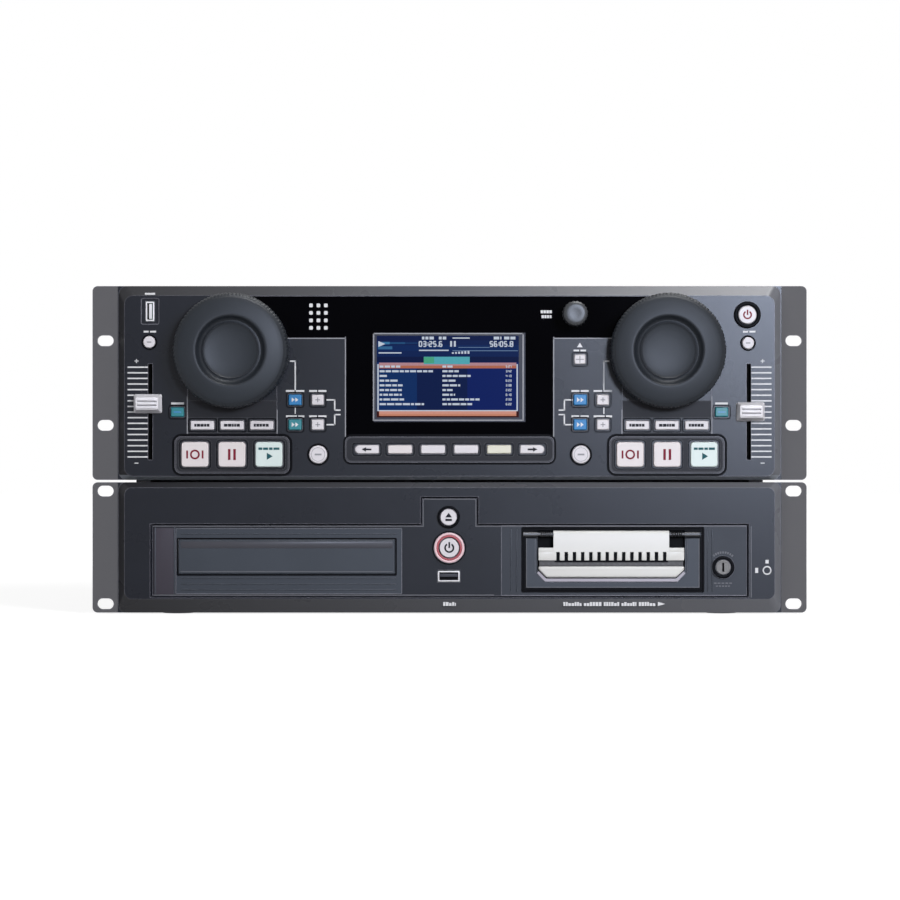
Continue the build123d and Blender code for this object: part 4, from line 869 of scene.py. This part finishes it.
def make_small_key_signs():
    """Dashes and arrows on the small keys."""
    skip = [[(left, -1.6), (left + 2.0, 0), (left, 1.6)] for left in (-2.2, 0.3)]
    plus = [bar(0, 0, 3.2, 0.6), bar(0, 0, 0.6, 3.2)]
    for side in DECKS:
        signs = [(f"loop_button_{side}_{number}", DARK_INK, loop_blocks(number)) for number in (1, 2, 3)]
        for row in ("upper", "lower"):
            signs += [(f"blue_button_{side}_{row}", INK, skip),
                      (f"white_button_{side}_{row}", GREY_INK, plus)]
        signs += [
            (f"round_button_{side}", GREY_INK, [bar(0, 0, 4.6, 1.2)] + ring_pieces(4.4, 4.7, 0, 360, 36)),
            (f"pitch_button_{side}", BLUE_KEY, [bar(0, 0, 5.0, 0.9)], "teal_key"),
            (f"corner_button_{side}", GREY_INK, [bar(0, 0, 3.0, 0.8)])]
        for node, *rest in signs:
            make_sign(f"{node}_sign", node, *rest)
    make_sign("square_button_sign", "square_button", GREY_INK, [bar(0, 0, 0.6, 4.6), bar(0, 0, 5.4, 0.6)])
    for node, way in (("soft_key_1", -1), ("soft_key_6", 1)):
        head = [(way * 3.6, 0), (way * 0.6, 1.5), (way * 0.6, -1.5)]
        make_sign(f"{node}_arrow", node, DARK_INK, [head, bar(-way * 1.2, 0, 3.6, 1.2)])


def power_outlines(size):
    """The power sign: an open ring with a bar through the gap."""
    return ring_pieces(size * 0.66, size, 122, 418, 24) + [bar(0, size * 0.55, size * 0.34, size * 1.2)]


def make_power_signs():
    """Power signs, the eject sign and the trims round the round buttons."""
    make_sign("control_power_sign", "control_power_button", RED_INK, power_outlines(3.0))
    with Piece("control_power_trim", BLACK_TRIM_AND_SHADE, "window_black") as trim:
        trim.ring(*place_of("control_power_button")[:2], 6.5, 9.1, -1.7, 0.2, 0.6)
    with Piece("button_collars", BLACK_TRIM_AND_SHADE, "window_black") as collar:
        for side in DECKS:
            collar.ring(*place_of(f"corner_button_{side}")[:2], 4.4, 5.3, -0.5, 0.2, 0.2)
            collar.ring(*place_of(f"round_button_{side}")[:2], 6.45, 7.5, -0.5, 0.2, 0.2)
    make_sign("drive_power_sign", "drive_power_button", DARK_INK, power_outlines(3.4), unit_z=DRIVE_Z,
              centre=(POWER_X, POWER_RISE))
    make_sign("eject_sign", "eject_button", DARK_INK,
              [[(-2.3, -0.2), (2.3, -0.2), (0, 2.9)], bar(0, -1.9, 4.4, 1.5)], unit_z=DRIVE_Z)
    with Piece("power_ring", RING_PINK, "white_key", DRIVE_Z) as ring:
        ring.ring(POWER_X, POWER_RISE, 8.4, 10.4, 0.4, 2.0, 0.9)
    with Piece("power_ring_inner", RING_RED, "white_key", DRIVE_Z) as ring:
        ring.ring(POWER_X, POWER_RISE, 7.25, 8.5, 0.55, 2.0, 0.2)
    with Piece("drive_button_trims", BLACK_TRIM_AND_SHADE, "window_black", DRIVE_Z) as trim:
        trim.ring(*place_of("eject_button", DRIVE_Z)[:2], 5.8, 7.6, 0.5, 2.6, 0.5)
        trim.ring(POWER_X, POWER_RISE, 10.4, 11.3, 0.9, 2.6, 0.3)


# ---------------------------------------------------------------- round the keys and faders
# How far each kind of key's surface stands proud of the panel, then its gap's border and corner. These gaps
# get painted shade.
KEY_SHADED_GAPS = {
    "cue_button": (1.2, 0.8, 2.2), "pause_button": (1.2, 0.8, 2.2), "play_button": (1.2, 0.8, 2.2),
    "soft_key": (0.8, 0.9, 1.4), "loop_button": (-0.6, 0.9, 1.0), "blue_button": (0.0, 0.8, 1.2),
    "white_button": (0.0, 0.8, 1.2), "pitch_button": (0.0, 0.8, 1.2), "square_button": (0.0, 0.8, 1.2),
}


def key_opening(node, margin):
    """Middle and size of the opening round a key."""
    low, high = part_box(node)
    return *place_of(node)[:2], (high.x - low.x) / MM + 2 * margin, (high.z - low.z) / MM + 2 * margin


def make_key_gap_shade():
    """Painted shade as black frames in the gaps round the keys and as black grooves round the raised plates,
    and fine grey lines of painted highlight round the raised plates.
    """
    with Piece("key_gap_shade", BLACK_TRIM_AND_SHADE, "window_black") as gap_shade:
        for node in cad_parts:
            for start, (proud, border, corner) in KEY_SHADED_GAPS.items():
                if node.startswith(start):
                    gap_shade.frame(*key_opening(node, border), corner + border, border - 0.15,
                                -proud - 0.08, -proud + 0.05, 0.04)
        for centre in DECKS.values():
            gap_shade.frame(centre, TRANSPORT_RISE, 81.1, 28.6, 6.3, 1.8, -0.1, 0.05, 0.04)
        gap_shade.frame(0.0, SOFT_KEYS_RISE, 143.6, 20.4, 5.4, 1.4, -0.1, 0.05, 0.04)
    with Piece("relief_edge_highlights", HIGHLIGHT_GREY, "panel_paint") as line:
        for centre in DECKS.values():
            line.frame(centre, TRANSPORT_RISE, 77.0, 24.5, 4.6, 0.9, -1.27, -1.1, 0.04)
        line.frame(0.0, SOFT_KEYS_RISE, 140.2, 17.0, 4.2, 0.7, -0.87, -0.7, 0.04)


def make_key_plates():
    """Satin plates on the two transport reliefs and on the soft-key relief, open round the keys."""
    with Piece("key_plates", KEY_PLATE, "panel_paint") as plate:
        for side, centre in DECKS.items():
            holes = [rounded_box(*key_opening(f"{kind}_button_{side}", 0.75), 2.6)
                     for kind in ("cue", "pause", "play")]
            plate.pierced(rounded_box(centre, TRANSPORT_RISE, 75.4, 22.9, 3.8), holes, -1.26, -1.1)
        holes = [rounded_box(*key_opening(f"soft_key_{number}", 0.85), 1.8) for number in range(1, 7)]
        plate.pierced(rounded_box(0.0, SOFT_KEYS_RISE, 139.0, 15.8, 3.6), holes, -0.86, -0.7)


def make_loop_plates():
    """Dark plates behind the loop keys, cut round the three keys of each deck."""
    half, gap = 29.8, 1.0
    with Piece("loop_plates", KEY_PLATE, "panel_paint") as plate:
        for side, centre in DECKS.items():
            keys = [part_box(f"loop_button_{side}_{number}") for number in (1, 2, 3)]
            key_top = (keys[0][1].z - CONTROL_Z) / MM + gap
            key_low = (keys[0][0].z - CONTROL_Z) / MM - gap
            edges = [centre - half]
            for low, high in sorted((low.x / MM, high.x / MM) for low, high in keys):
                edges += [low - gap, high + gap]
            edges.append(centre + half)
            plate.boxes(0.42, 0.62, (centre - half, centre + half, key_top, -12.0),
                        (centre - half, centre + half, -35.7, key_low),
                        *((left, right, key_low, key_top) for left, right in zip(edges[::2], edges[1::2])))


def make_fader_felts():
    """Black dust flaps behind the two fader slots, with a slit for the lever."""
    with Piece("fader_felts", FELT, "window_black") as felt:
        for sign in (-1, 1):
            for half in (-1, 1):
                x = sign * FADER_X + half * 2.325
                felt.bars(4.05, 4.3, (x, FADER_RISE, 2.15, 2 * FADER_SLOT_HALF))
            felt.bars(5.4, 5.6, (sign * FADER_X, FADER_RISE, 6.8, 2 * FADER_SLOT_HALF))


def make_usb(name, unit_z, x, rise, width, height, front, tongue_material, tongue_box, tongue_front):
    """Steel shell, dark inside and tongue of a USB socket."""
    wall, length = 0.85, 9.0
    outer = rounded_box(x, rise, width, height, 0.5, 3)
    inner = rounded_box(x, rise, width - 2 * wall, height - 2 * wall, 0.3, 3)
    with Piece(name + "_shell", SHELL, "lock_steel", unit_z) as shell:
        shell.stack([(outer, front + length), (outer, front + 0.1), (inner, front),
                     (inner, front + length - 1.0)], caps=False)
    with Piece(name + "_inside", BLACK_TRIM_AND_SHADE, "window_black", unit_z) as inside:
        inside.prism(inner, front + 2.6, front + 2.9)
    with Piece(name + "_tongue", tongue_material, "white_key", unit_z) as tongue:
        tongue.slab(*tongue_box, 0.3, front + tongue_front, front + 2.8, 0.15)


# ---------------------------------------------------------------- drive unit
def make_drive_print():
    """Print of the drive panel: the places of two labels as blocks, an arrow and the lamp's marks."""
    with Piece("drive_print", INK, "white_key", DRIVE_Z) as ink:
        label_blocks(ink, 0.0, -37.9, 8.6, 2.7, lift=-1.4, seed=41, words=1)
        label_blocks(ink, 108.0, LABEL_RISE, 62.4, 2.7, lift=-1.4, seed=42, words=5)
        ink.prism([(140.4, -39.4), (145.4, LABEL_RISE), (140.4, -36.6)], INK_FRONT + 1.4, INK_BACK + 1.4)
        ink.ring(LAMP_X, LAMP_RISE, 2.1, 3.0, -0.25, 0.4, 0.1)
        mark(ink, 207.0, LAMP_RISE, 2.0, 3.4)
        mark(ink, LAMP_X, -9.4, 2.2, 2.4)


def grip_outline(half_width, inset):
    """Outline of the handle's grip bar, with cut lower corners."""
    half, top, low = half_width - inset, -12.7 - 0.5 * inset, -20.2 + inset
    cut, soft = 5.4 - 0.8 * inset, 0.5
    right = [(half - cut - soft, low), (half - cut + soft, low + soft), (half - soft, low + cut - soft),
             (half, low + cut + soft), (half, top - soft), (half - soft, top)]
    left = [(-x, rise) for x, rise in reversed(right)]
    return [(HANDLE_X + x, rise) for x, rise in left[-1:] + right + left[:-1]]


def make_handle():
    """Cartridge handle: slotted plate with its knuckle, painted shade behind the slots, grey band and rounded
    grip bar.
    """
    plate_half, wide_half, knuckle_radius, tooth_low = 39.0, 49.1, 2.45, -8.6
    slot_count, slot_pitch, slot_half, rib_count, rib_pitch = 14, 5.53, 1.15, 26, 3.68
    node = "cartridge_handle"
    near, far = HANDLE_PIVOT_DEPTH - knuckle_radius, HANDLE_PIVOT_DEPTH + knuckle_radius
    slots = [HANDLE_X + (number - (slot_count - 1) / 2) * slot_pitch for number in range(slot_count)]
    section = [(near, -2.9)]
    for step in range(11):
        angle = math.radians(180 * step / 10)
        section.append((HANDLE_PIVOT_DEPTH - knuckle_radius * math.cos(angle),
                        HANDLE_PIVOT_RISE + knuckle_radius * math.sin(angle)))
    section.append((far, -2.9))
    with Piece("handle_plate", HANDLE, "handle_plastic", DRIVE_Z, node, 30, [node]) as plate:
        plate.skin([[plate.vert(HANDLE_X + sign * plate_half, rise, depth) for depth, rise in section]
                    for sign in (-1, 1)])
        slot_edges = [x + sign * slot_half for x in slots for sign in (-1, 1)]
        edges = [HANDLE_X - wide_half, *slot_edges, HANDLE_X + wide_half]
        for left, right in zip(edges[::2], edges[1::2]):
            plate.slab((left + right) / 2, (tooth_low - 2.7) / 2, right - left, -2.7 - tooth_low, 0.3,
                       near, far - 1.4, 0.3)
        for sign in (-1, 1):
            plate.slab(HANDLE_X + sign * 44.0, -1.7, 10.2, 3.2, 0.3, near, far, 0.3)
    # Painted shade: a black sheet behind the slots, where shade falls.
    with Piece("handle_slot_shade", BLACK_TRIM_AND_SHADE, "window_black", DRIVE_Z, node) as slot_shade:
        slot_shade.boxes(near + 1.75, near + 2.2, (HANDLE_X - 38.2, HANDLE_X + 38.2, -9.9, -3.4))
    with Piece("handle_band", BAND, "drive_plastic", DRIVE_Z, node) as band:
        band.slab(HANDLE_X, -9.3, 2 * wide_half - 1.0, 9.4, 0.5, near + 2.1, far, 0.3)
        for number in range(rib_count):
            x = HANDLE_X + (number - (rib_count - 1) / 2) * rib_pitch
            band.slab(x, -11.4, 1.6, 1.2, 0.3, near + 1.9, near + 2.3, 0.1)
    with Piece("handle_grip", HANDLE, "handle_plastic", DRIVE_Z, node, 50) as grip:
        grip.stack([(grip_outline(wide_half, inset), depth) for inset, depth in (
            (1.6, near - 0.95), (0.9, near - 0.8), (0.3, near - 0.3), (0.0, near + 0.6), (0.0, far),
            (0.5, far + 0.4))])


def make_handle_field():
    """Painted shade as a black sheet on the floor of the handle field, and the lip along its lower edge, a
    real edge painted pale as its highlight.
    """
    half, low, high, cut = 49.8, -22.1, 12.0, 7.0
    shade_outline = [(-half + cut, low), (half - cut, low), (half, low + cut), (half, high), (-half, high),
                     (-half, low + cut)]
    inner = [(-48.8, -16.0), (-43.9, -20.9), (43.9, -20.9), (48.8, -16.0)]
    outer = [(-50.1, -17.2), (-44.7, -22.9), (44.7, -22.9), (50.1, -17.2)]
    # Painted shade: a black sheet over the floor of the handle field.
    with Piece("handle_field_shade", BLACK_TRIM_AND_SHADE, "drive_plastic", DRIVE_Z, "drive_cartridge") as floor:
        floor.prism([(HANDLE_X + x, rise) for x, rise in shade_outline], 9.75, 9.98)
    # Painted highlight: the lip is real, its pale colour stands for light on its edge.
    with Piece("handle_field_lip_highlight", LIP_HIGHLIGHT, "drive_plastic", DRIVE_Z, "drive_cartridge") as lip:
        for i in range(len(inner) - 1):
            strip = (outer[i], outer[i + 1], inner[i + 1], inner[i])
            lip.prism([(HANDLE_X + x, rise) for x, rise in strip], 1.7, 3.6)


def make_hinge_rods():
    """Steel ends of the handle's rod in the cartridge, with a small return spring on each side."""
    def turned(x0, x1, radius0, radius1):
        rod.skin([[rod.vert(x, rise, depth) for depth, rise in circle(
            HANDLE_PIVOT_DEPTH - 1.0, HANDLE_PIVOT_RISE, radius, 24)]
            for x, radius in ((x0, radius0), (x1, radius1))])

    with Piece("hinge_rod_ends", ROD_STEEL, "lock_steel", DRIVE_Z, "drive_cartridge") as rod:
        for sign in (-1, 1):
            inner, shoulder, tip = (HANDLE_X + sign * reach for reach in (39.6, 49.6, 59.5))
            turned(*sorted((shoulder, tip)), 1.6, 1.6)
            turned(*sorted((inner, shoulder)), 1.1, 1.1)
            for coil in range(6):
                x = HANDLE_X + sign * (41.0 + 1.25 * coil)
                turned(x - 0.38, x, 1.5, 1.95)
                turned(x, x + 0.38, 1.95, 1.5)


def make_cartridge_edge():
    """Painted shade as a black band round the front of the cartridge, with a fine grey line of painted
    highlight inside it.
    """
    left, right, low, top = CARTRIDGE_LEFT, CARTRIDGE_RIGHT, CARTRIDGE_LOW, CARTRIDGE_TOP
    side, line_side, line_width, corner_low, field_half = 1.9, 2.0, 0.5, 6.2, 50.0
    upper = top - 1.1
    with Piece("cartridge_edge_shade", BLACK_TRIM_AND_SHADE, "window_black", DRIVE_Z, "drive_cartridge") as edge_shade:
        edge_shade.boxes(ISLAND_DEPTH - 0.16, ISLAND_BACK,
                   (left, left + side, low, top), (right - side, right, low, top),
                   (left + side, right - side, low, low + side), (left + side, right - side, upper, top),
                   (left + side, HANDLE_X - field_half, corner_low, upper),
                   (HANDLE_X + field_half, right - side, corner_low, upper))
    left, right, low = left + line_side, right - line_side, low + line_side
    with Piece("cartridge_edge_highlight", HIGHLIGHT_AND_PRINT_GREY, "drive_plastic", DRIVE_Z, "drive_cartridge") as line:
        line.boxes(ISLAND_DEPTH - 0.10, ISLAND_BACK, (left, left + line_width, low, corner_low),
                   (right - line_width, right, low, corner_low),
                   (left + line_width, right - line_width, low, low + line_width))


def make_stored_drive():
    """Metal lid of the drive in the cartridge, with its round relief and a bare label."""
    top, middle, disc_depth, label_depth = 0.3, 97.5, 82.0, 146.0
    plate = rounded_box(HANDLE_X, middle, 101.0, 146.4, 3.0)

    def layers(piece, *outlines):
        piece.skin([[piece.vert(x, top + height, depth) for x, depth in points]
                    for points, height in outlines])

    with Piece("stored_drive_lid", SUPPLY, "drive_plastic", DRIVE_Z, "drive_cartridge") as lid:
        layers(lid, (plate, -0.3), (plate, 0.3), (rounded_box(HANDLE_X, middle, 100.2, 145.6, 2.8), 0.6))
        layers(lid, (circle(HANDLE_X, disc_depth, 44.0), 0.5), (circle(HANDLE_X, disc_depth, 43.0), 1.2))
        layers(lid, (circle(HANDLE_X, disc_depth, 12.0, 32), 1.1),
               (circle(HANDLE_X, disc_depth, 11.4, 32), 1.7))
    label_outline = rounded_box(HANDLE_X, label_depth, 78.0, 34.0, 1.5)
    with Piece("stored_drive_label", WHITE_KEY, "white_key", DRIVE_Z, "drive_cartridge") as label:
        layers(label, (label_outline, 0.5), (label_outline, 0.75))


def make_bay_trim():
    """Painted shade as black frames in the gaps round the cartridge and the disc tray, upright ribs beside
    the cartridge and ribs on the disc drive's bezel.
    """
    disc_x = place_of("disc_drive_frame", DRIVE_Z)[0]
    with Piece("cartridge_gap_shade", BLACK_TRIM_AND_SHADE, "window_black", DRIVE_Z) as gap:
        gap.frame(110.15, -8.15, 123.6, 44.4, 1.2, 1.15, ISLAND_DEPTH - 0.12, ISLAND_BACK, 0.04)
    with Piece("drive_ribs", DRIVE, "drive_plastic", DRIVE_Z) as rib:
        for x in (41.5, 45.4, 174.2, 177.2):
            rib.slab(x, -8.6, 1.0, 42.0, 0.4, ISLAND_DEPTH - 0.45, ISLAND_BACK, 0.3)
        for x in (-198.6, -185.6):
            rib.slab(x, -8.8, 1.0, 45.0, 0.4, ISLAND_DEPTH - 0.5, ISLAND_BACK, 0.3)
        for rise in (-20.6, -24.6, -28.4, 9.2):
            rib.slab(disc_x, rise, 145.0, 0.9, 0.4, ISLAND_DEPTH - 0.45, ISLAND_BACK, 0.3)
    with Piece("tray_gap_shade", BLACK_TRIM_AND_SHADE, "window_black", DRIVE_Z) as rim:
        rim.frame(place_of("disc_tray")[0], -6.2, 148.6, 25.6, 0.9, 1.0,
                  ISLAND_DEPTH - 0.1, ISLAND_BACK, 0.04)


def make_gap_shade_strips():
    """Black strips that close the gap between the two units outside the pads: painted shade, a dark sheet for
    the shade in the gap.
    """
    gap_rise = (DRIVE_HALF_HEIGHT - CONTROL_HALF_HEIGHT) / 2
    with Piece("gap_shade_strips", FOOT, "jog_rubber", (CONTROL_Z + DRIVE_Z) / 2) as strips:
        for sign in (-1, 1):
            strips.slab(sign * 207.0, gap_rise, 9.4, 1.5, 0.3, 6.0, 12.0, 0.1)


def make_island_edges():
    """Grey lines of painted highlight along the edges of the sunken field and its tab, and the shoulder left
    of the disc drive.
    """
    front = ISLAND_DEPTH - 0.10
    with Piece("island_edge_highlights", HIGHLIGHT_AND_PRINT_GREY, "drive_plastic", DRIVE_Z) as line:
        line.boxes(front, ISLAND_BACK, (18.0, 200.2, 14.05, 14.65), (-200.2, -18.0, 14.05, 14.65),
                   (17.4, 18.0, 14.05, 32.9), (-18.0, -17.4, 14.05, 32.9), (-17.4, 17.4, 32.3, 32.9),
                   (-200.0, 30.0, -32.3, -31.7))
        line.boxes(-0.08, 0.05, (203.0, 203.6, -33.6, 14.4))
    with Piece("bezel_wing", WING, "drive_plastic", DRIVE_Z) as wing:
        wing.slab(-192.9, -9.1, 13.6, 45.0, 0.6, ISLAND_DEPTH - 0.35, ISLAND_BACK, 0.3)


def make_tray_band():
    """Raised upper band across the front of the disc tray, and a fine lower line of painted highlight."""
    x, _, front = place_of("disc_tray")
    with Piece("tray_band", TRAY_BAND, "drive_plastic", DRIVE_Z, "disc_tray") as band:
        band.slab(x, 1.9, 143.0, 4.6, 0.5, front - 0.2, front + 0.05, 0.15)
    with Piece("tray_highlight_line", HIGHLIGHT_AND_PRINT_GREY, "drive_plastic", DRIVE_Z, "disc_tray") as line:
        line.boxes(front - 0.1, front + 0.05, (x - 71.5, x + 71.5, -16.4, -15.9))


def make_lock():
    """Key lock: dark collar, steel cylinder face with a raised rim and its key slot."""
    face_radius, slot_half = 3.4, 0.75
    with Piece("lock_collar", BLACK_TRIM_AND_SHADE, "drive_plastic", DRIVE_Z) as collar:
        collar.ring(LOCK_X, LOCK_RISE, 5.1, 7.8, 0.6, 2.6, 0.7)
    with Piece("lock_face", LOCK_STEEL, "lock_steel", DRIVE_Z, "key_cylinder") as face:
        face.ring(LOCK_X, LOCK_RISE, face_radius, 5.0, 0.05, 1.6, 0.5)
        for sign in (-1, 1):
            half_disc = [(slot_half, -3.3)]
            for step in range(13):
                angle = math.radians(-77 + 154 * step / 12)
                half_disc.append((face_radius * math.cos(angle), face_radius * math.sin(angle)))
            half_disc.append((slot_half, 3.3))
            face.prism([(LOCK_X + sign * x, LOCK_RISE + rise) for x, rise in half_disc[::sign]], 0.3, 1.6)


def make_lock_print():
    """Arc of small marks over the lock and two faint rows under it."""
    front = ISLAND_DEPTH - 0.08
    with Piece("lock_print", HIGHLIGHT_AND_PRINT_GREY, "white_key", DRIVE_Z) as ink:
        for number in range(9):
            angle = 48 + 9.6 * number
            outline = ring_sector(LOCK_X, LOCK_RISE, 9.2, 10.7, angle, angle + 6.4, 2)
            ink.prism(outline, front, ISLAND_BACK)
        for rise, half in ((-24.0, 6.2), (-26.0, 4.8)):
            for number in range(5):
                left = LOCK_X - half + number * half * 0.42
                ink.boxes(front, ISLAND_BACK, (left, left + half * 0.30, rise - 0.4, rise + 0.4))


# ---------------------------------------------------------------- screws and backs of both units
# Radius, height over the seat, and whether the step is cut as a hexagon.
SCREW_PROFILE = (
    (0.0, 0.45, False), (1.15, 0.45, True), (1.25, 1.40, True), (1.6, 1.56, False), (2.1, 1.45, False),
    (2.6, 1.05, False), (2.9, 0.50, False), (3.0, 0.0, False), (1.5, 0.0, False), (1.5, -6.0, False),
    (0.0, -6.0, False),
)
SCREW_SIDES = 24


def screw(piece, centre, outward, scale=1.0):
    """Button-head screw with a hexagon socket. centre and outward are (x, height, depth)."""
    out, across = Vector(outward), Vector((0, 1, 0))
    along = out.cross(across)
    loops = []
    for radius, height, hexagon in SCREW_PROFILE:
        middle = Vector(centre) + out * height * scale
        loop = []
        for step in range(SCREW_SIDES if radius else 1):
            angle = 2 * math.pi * step / SCREW_SIDES
            reach = radius * scale
            if hexagon:
                reach *= math.cos(math.pi / 6) / math.cos(angle % (math.pi / 3) - math.pi / 6)
            loop.append(piece.vert(*(middle + across * reach * math.cos(angle)
                                     + along * reach * math.sin(angle))))
        loops.append(loop)
    piece.skin(loops, caps=False)


def make_screws():
    """Lid screws, the control unit's back screws and the small ones beside the rear sockets."""
    lid_x, lid_height, case_x, case_depth = 216.2, 79.7, 205.0, 70.0
    with Piece("button_head_screws", STEEL, "screw_steel", 0.0, replaces=["screws"]) as screws:
        for side in (-1, 1):
            for depth in (40.0, 150.0, 270.0):
                screw(screws, (side * lid_x, lid_height, depth), (side, 0, 0))
            for rise in (-50.0, 50.0):
                screw(screws, (side * case_x, CONTROL_Z / MM + rise, case_depth), (0, 0, 1))
    with Piece("socket_screws", STEEL, "screw_steel", 0.0) as small:
        for x, height, depth in (
            (20.0, AUDIO_HEIGHT, REAR_DEPTH), (66.0, AUDIO_HEIGHT, REAR_DEPTH),
            (-150.0, INLET_HEIGHT, REAR_DEPTH + 1.3), (-110.0, INLET_HEIGHT, REAR_DEPTH + 1.3),
            (97.0, LINK_HEIGHT, REAR_DEPTH), (153.0, LINK_HEIGHT, REAR_DEPTH),
        ):
            screw(small, (x, height, depth), (0, 0, 1), 0.8)


def make_rear_sockets():
    """Coloured insulators of the audio sockets, the mains inlet's flange and its three blades."""
    for number, (x, material) in enumerate(((10.5, RED_INK), (29.5, INK), (56.5, RED_INK), (75.5, INK))):
        with Piece(f"audio_insulator_{number}", material, "white_key", 0.0) as insulator:
            insulator.ring(x, AUDIO_HEIGHT, 4.2, 6.2, REAR_DEPTH - 0.1, REAR_DEPTH + 1.4, 0.2)
    with Piece("inlet_flange", BLACK_TRIM_AND_SHADE, "window_black", 0.0) as flange:
        flange.pierced(rounded_box(INLET_X, INLET_HEIGHT, 50.0, 24.0, 3.0),
                       [rounded_box(INLET_X, INLET_HEIGHT, 27.1, 20.1, 0.2)],
                       REAR_DEPTH + 0.02, REAR_DEPTH + 1.3)
    with Piece("inlet_blades", STEEL, "screw_steel", 0.0) as blades:
        for step, rise in ((-7.0, -1.5), (0.0, 2.5), (7.0, -1.5)):
            blades.bars(REAR_DEPTH - 14.8, REAR_DEPTH - 3.8,
                        (INLET_X + step, INLET_HEIGHT + rise, 2.1, 6.1))


def make_rear_print():
    """Print round the rear sockets: outlines, the numbers of the two decks and label dashes."""
    front, back = REAR_DEPTH - 0.05, REAR_DEPTH + 0.06
    with Piece("rear_print", INK, "white_key", 0.0) as ink:
        for x, figure in ((20.0, "1"), (66.0, "2")):
            ink.frame(x, AUDIO_HEIGHT, 42.4, 22.4, 1.4, 0.5, back, front, -0.02)
            digit(ink, x, 43.0, 5.0, figure, front, mirrored=True)
        for x in (110.0, 140.0):
            ink.frame(x, LINK_HEIGHT, 20.6, 18.6, 1.2, 0.5, back, front, -0.02)
        for x, width, height in ((110.0, 12.0, 36.0), (140.0, 12.0, 36.0), (INLET_X, 20.0, 50.0)):
            for step in range(4):
                left = x - width / 2 + step * width / 4
                ink.boxes(front, back, (left, left + width / 4 - 0.6, height - 0.8, height + 0.8))


# ---------------------------------------------------------------- studio
def white_surround_mask(shading):
    """1 for the rays that see the surroundings: camera, glossy and transmission rays."""
    rays = shading.add("ShaderNodeLightPath").outputs
    mask = shading.math("MAXIMUM", rays["Is Camera Ray"], rays["Is Glossy Ray"])
    return shading.math("MAXIMUM", mask, rays["Is Transmission Ray"])


def make_stage():
    """Pale floor that stays white in the picture and keeps the object's soft shadow."""
    floor = bpy.data.meshes.new("floor")
    floor.from_pydata([(-6, -5, 0), (6, -5, 0), (6, 6, 0), (-6, 6, 0)], [], [(0, 1, 2, 3)])
    floor_piece = bpy.data.objects.new("floor", floor)
    bpy.context.scene.collection.objects.link(floor_piece)
    material, shading, shader = new_material("floor_white")
    place = shading.add("ShaderNodeNewGeometry").outputs["Position"]
    reach = shading.add("ShaderNodeVectorMath", {0: place}, operation="LENGTH").outputs["Value"]
    paleness = shading.add("ShaderNodeMapRange", {
        "Value": reach, "From Min": 0.35, "From Max": 1.1, "To Min": 0.82, "To Max": 1.0,
    }, interpolation_type="SMOOTHSTEP").outputs["Result"]
    shading.feed(shader, {
        "Base Color": (0.42, 0.42, 0.42), "Roughness": 0.9, "Specular IOR Level": 0.0,
        "Emission Color": (1, 1, 1),
        "Emission Strength": shading.math("MULTIPLY", white_surround_mask(shading), paleness)})
    floor.materials.append(material)


def make_world():
    """Surroundings that look white, with a softer share of light for matt surfaces."""
    world = bpy.data.worlds.new("studio")
    bpy.context.scene.world = world
    world.use_nodes = True
    shading = Shading(world.node_tree)
    strength = shading.map_range(white_surround_mask(shading), To_Min=0.18, To_Max=1.0)
    shading.feed(world.node_tree.nodes["Background"].inputs, {"Color": (1, 1, 1), "Strength": strength})


def make_lamp(name, location, target, size, power, sheen=False, colour=(1.0, 1.0, 1.0)):
    """A soft lamp aimed at a point: it lights matt surfaces, or as a sheen lamp only shows in satin ones."""
    data = bpy.data.lights.new(name, "AREA")
    data.shape = "RECTANGLE"
    data.size, data.size_y = size
    data.energy = power
    data.color = colour
    lamp = bpy.data.objects.new(name, data)
    bpy.context.scene.collection.objects.link(lamp)
    lamp.visible_glossy = sheen
    lamp.visible_diffuse = not sheen
    lamp.location = location
    lamp.rotation_euler = (Vector(target) - Vector(location)).to_track_quat("-Z", "Y").to_euler()


def make_camera():
    """Long lens, square to the fronts, framing them as the photograph does."""
    frame_width, lens, sensor, middle_x, middle_height = 0.6066, 135.0, 36.0, 0.0003, 0.1109
    camera_data = bpy.data.cameras.new("camera")
    camera_data.lens = lens
    camera_data.sensor_width = sensor
    camera = bpy.data.objects.new("camera", camera_data)
    bpy.context.scene.collection.objects.link(camera)
    distance = frame_width * lens / sensor
    camera.location = (middle_x, FACE_Y - distance, middle_height)
    camera.rotation_euler = (math.radians(90), 0, 0)
    bpy.context.scene.camera = camera


dress_cad_nodes()
make_stage()
make_world()
make_lamp("key_right", (1.3, -2.3, 1.0), (0.05, -0.14, 0.12), (0.9, 0.9), 69.0)
make_lamp("fill_left", (-1.9, -1.5, 1.3), (0, -0.14, 0.12), (0.8, 0.8), 20.0)
make_lamp("top_sheen", (0.50, -0.35, 1.9), (0.2, -0.14, 0.2), (1.8, 0.5), 58.0, sheen=True)
make_lamp("front_sheen", (0.54, -2.4, 0.50), (0.26, -0.14, 0.26), (0.34, 0.34), 61.0, sheen=True,
          colour=(0.70, 0.79, 1.0))
make_camera()

make_control_print()
make_control_outlines()
make_screen()
for deck in DECKS:
    make_jog(deck)
    make_fader_cap(deck)
make_knob()
make_transport_signs()
make_small_key_signs()
make_power_signs()
make_key_gap_shade()
make_key_plates()
make_loop_plates()
make_fader_felts()
make_usb("control_usb", CONTROL_Z, -201.9, 48.2, 5.7, 13.0, 0.3, TONGUE, (-201.7, 48.2, 2.0, 10.0), 0.9)
make_usb("drive_usb", DRIVE_Z, -0.5, -19.3, 14.6, 7.1, 1.8, GREY_TONGUE, (-0.5, -18.7, 12.4, 2.1), 0.8)
make_drive_print()
make_handle()
make_handle_field()
make_hinge_rods()
make_cartridge_edge()
make_stored_drive()
make_bay_trim()
make_gap_shade_strips()
make_island_edges()
make_tray_band()
make_lock()
make_lock_print()
make_screws()
make_rear_sockets()
make_rear_print()

bpy.context.scene.view_settings.view_transform = "Standard"
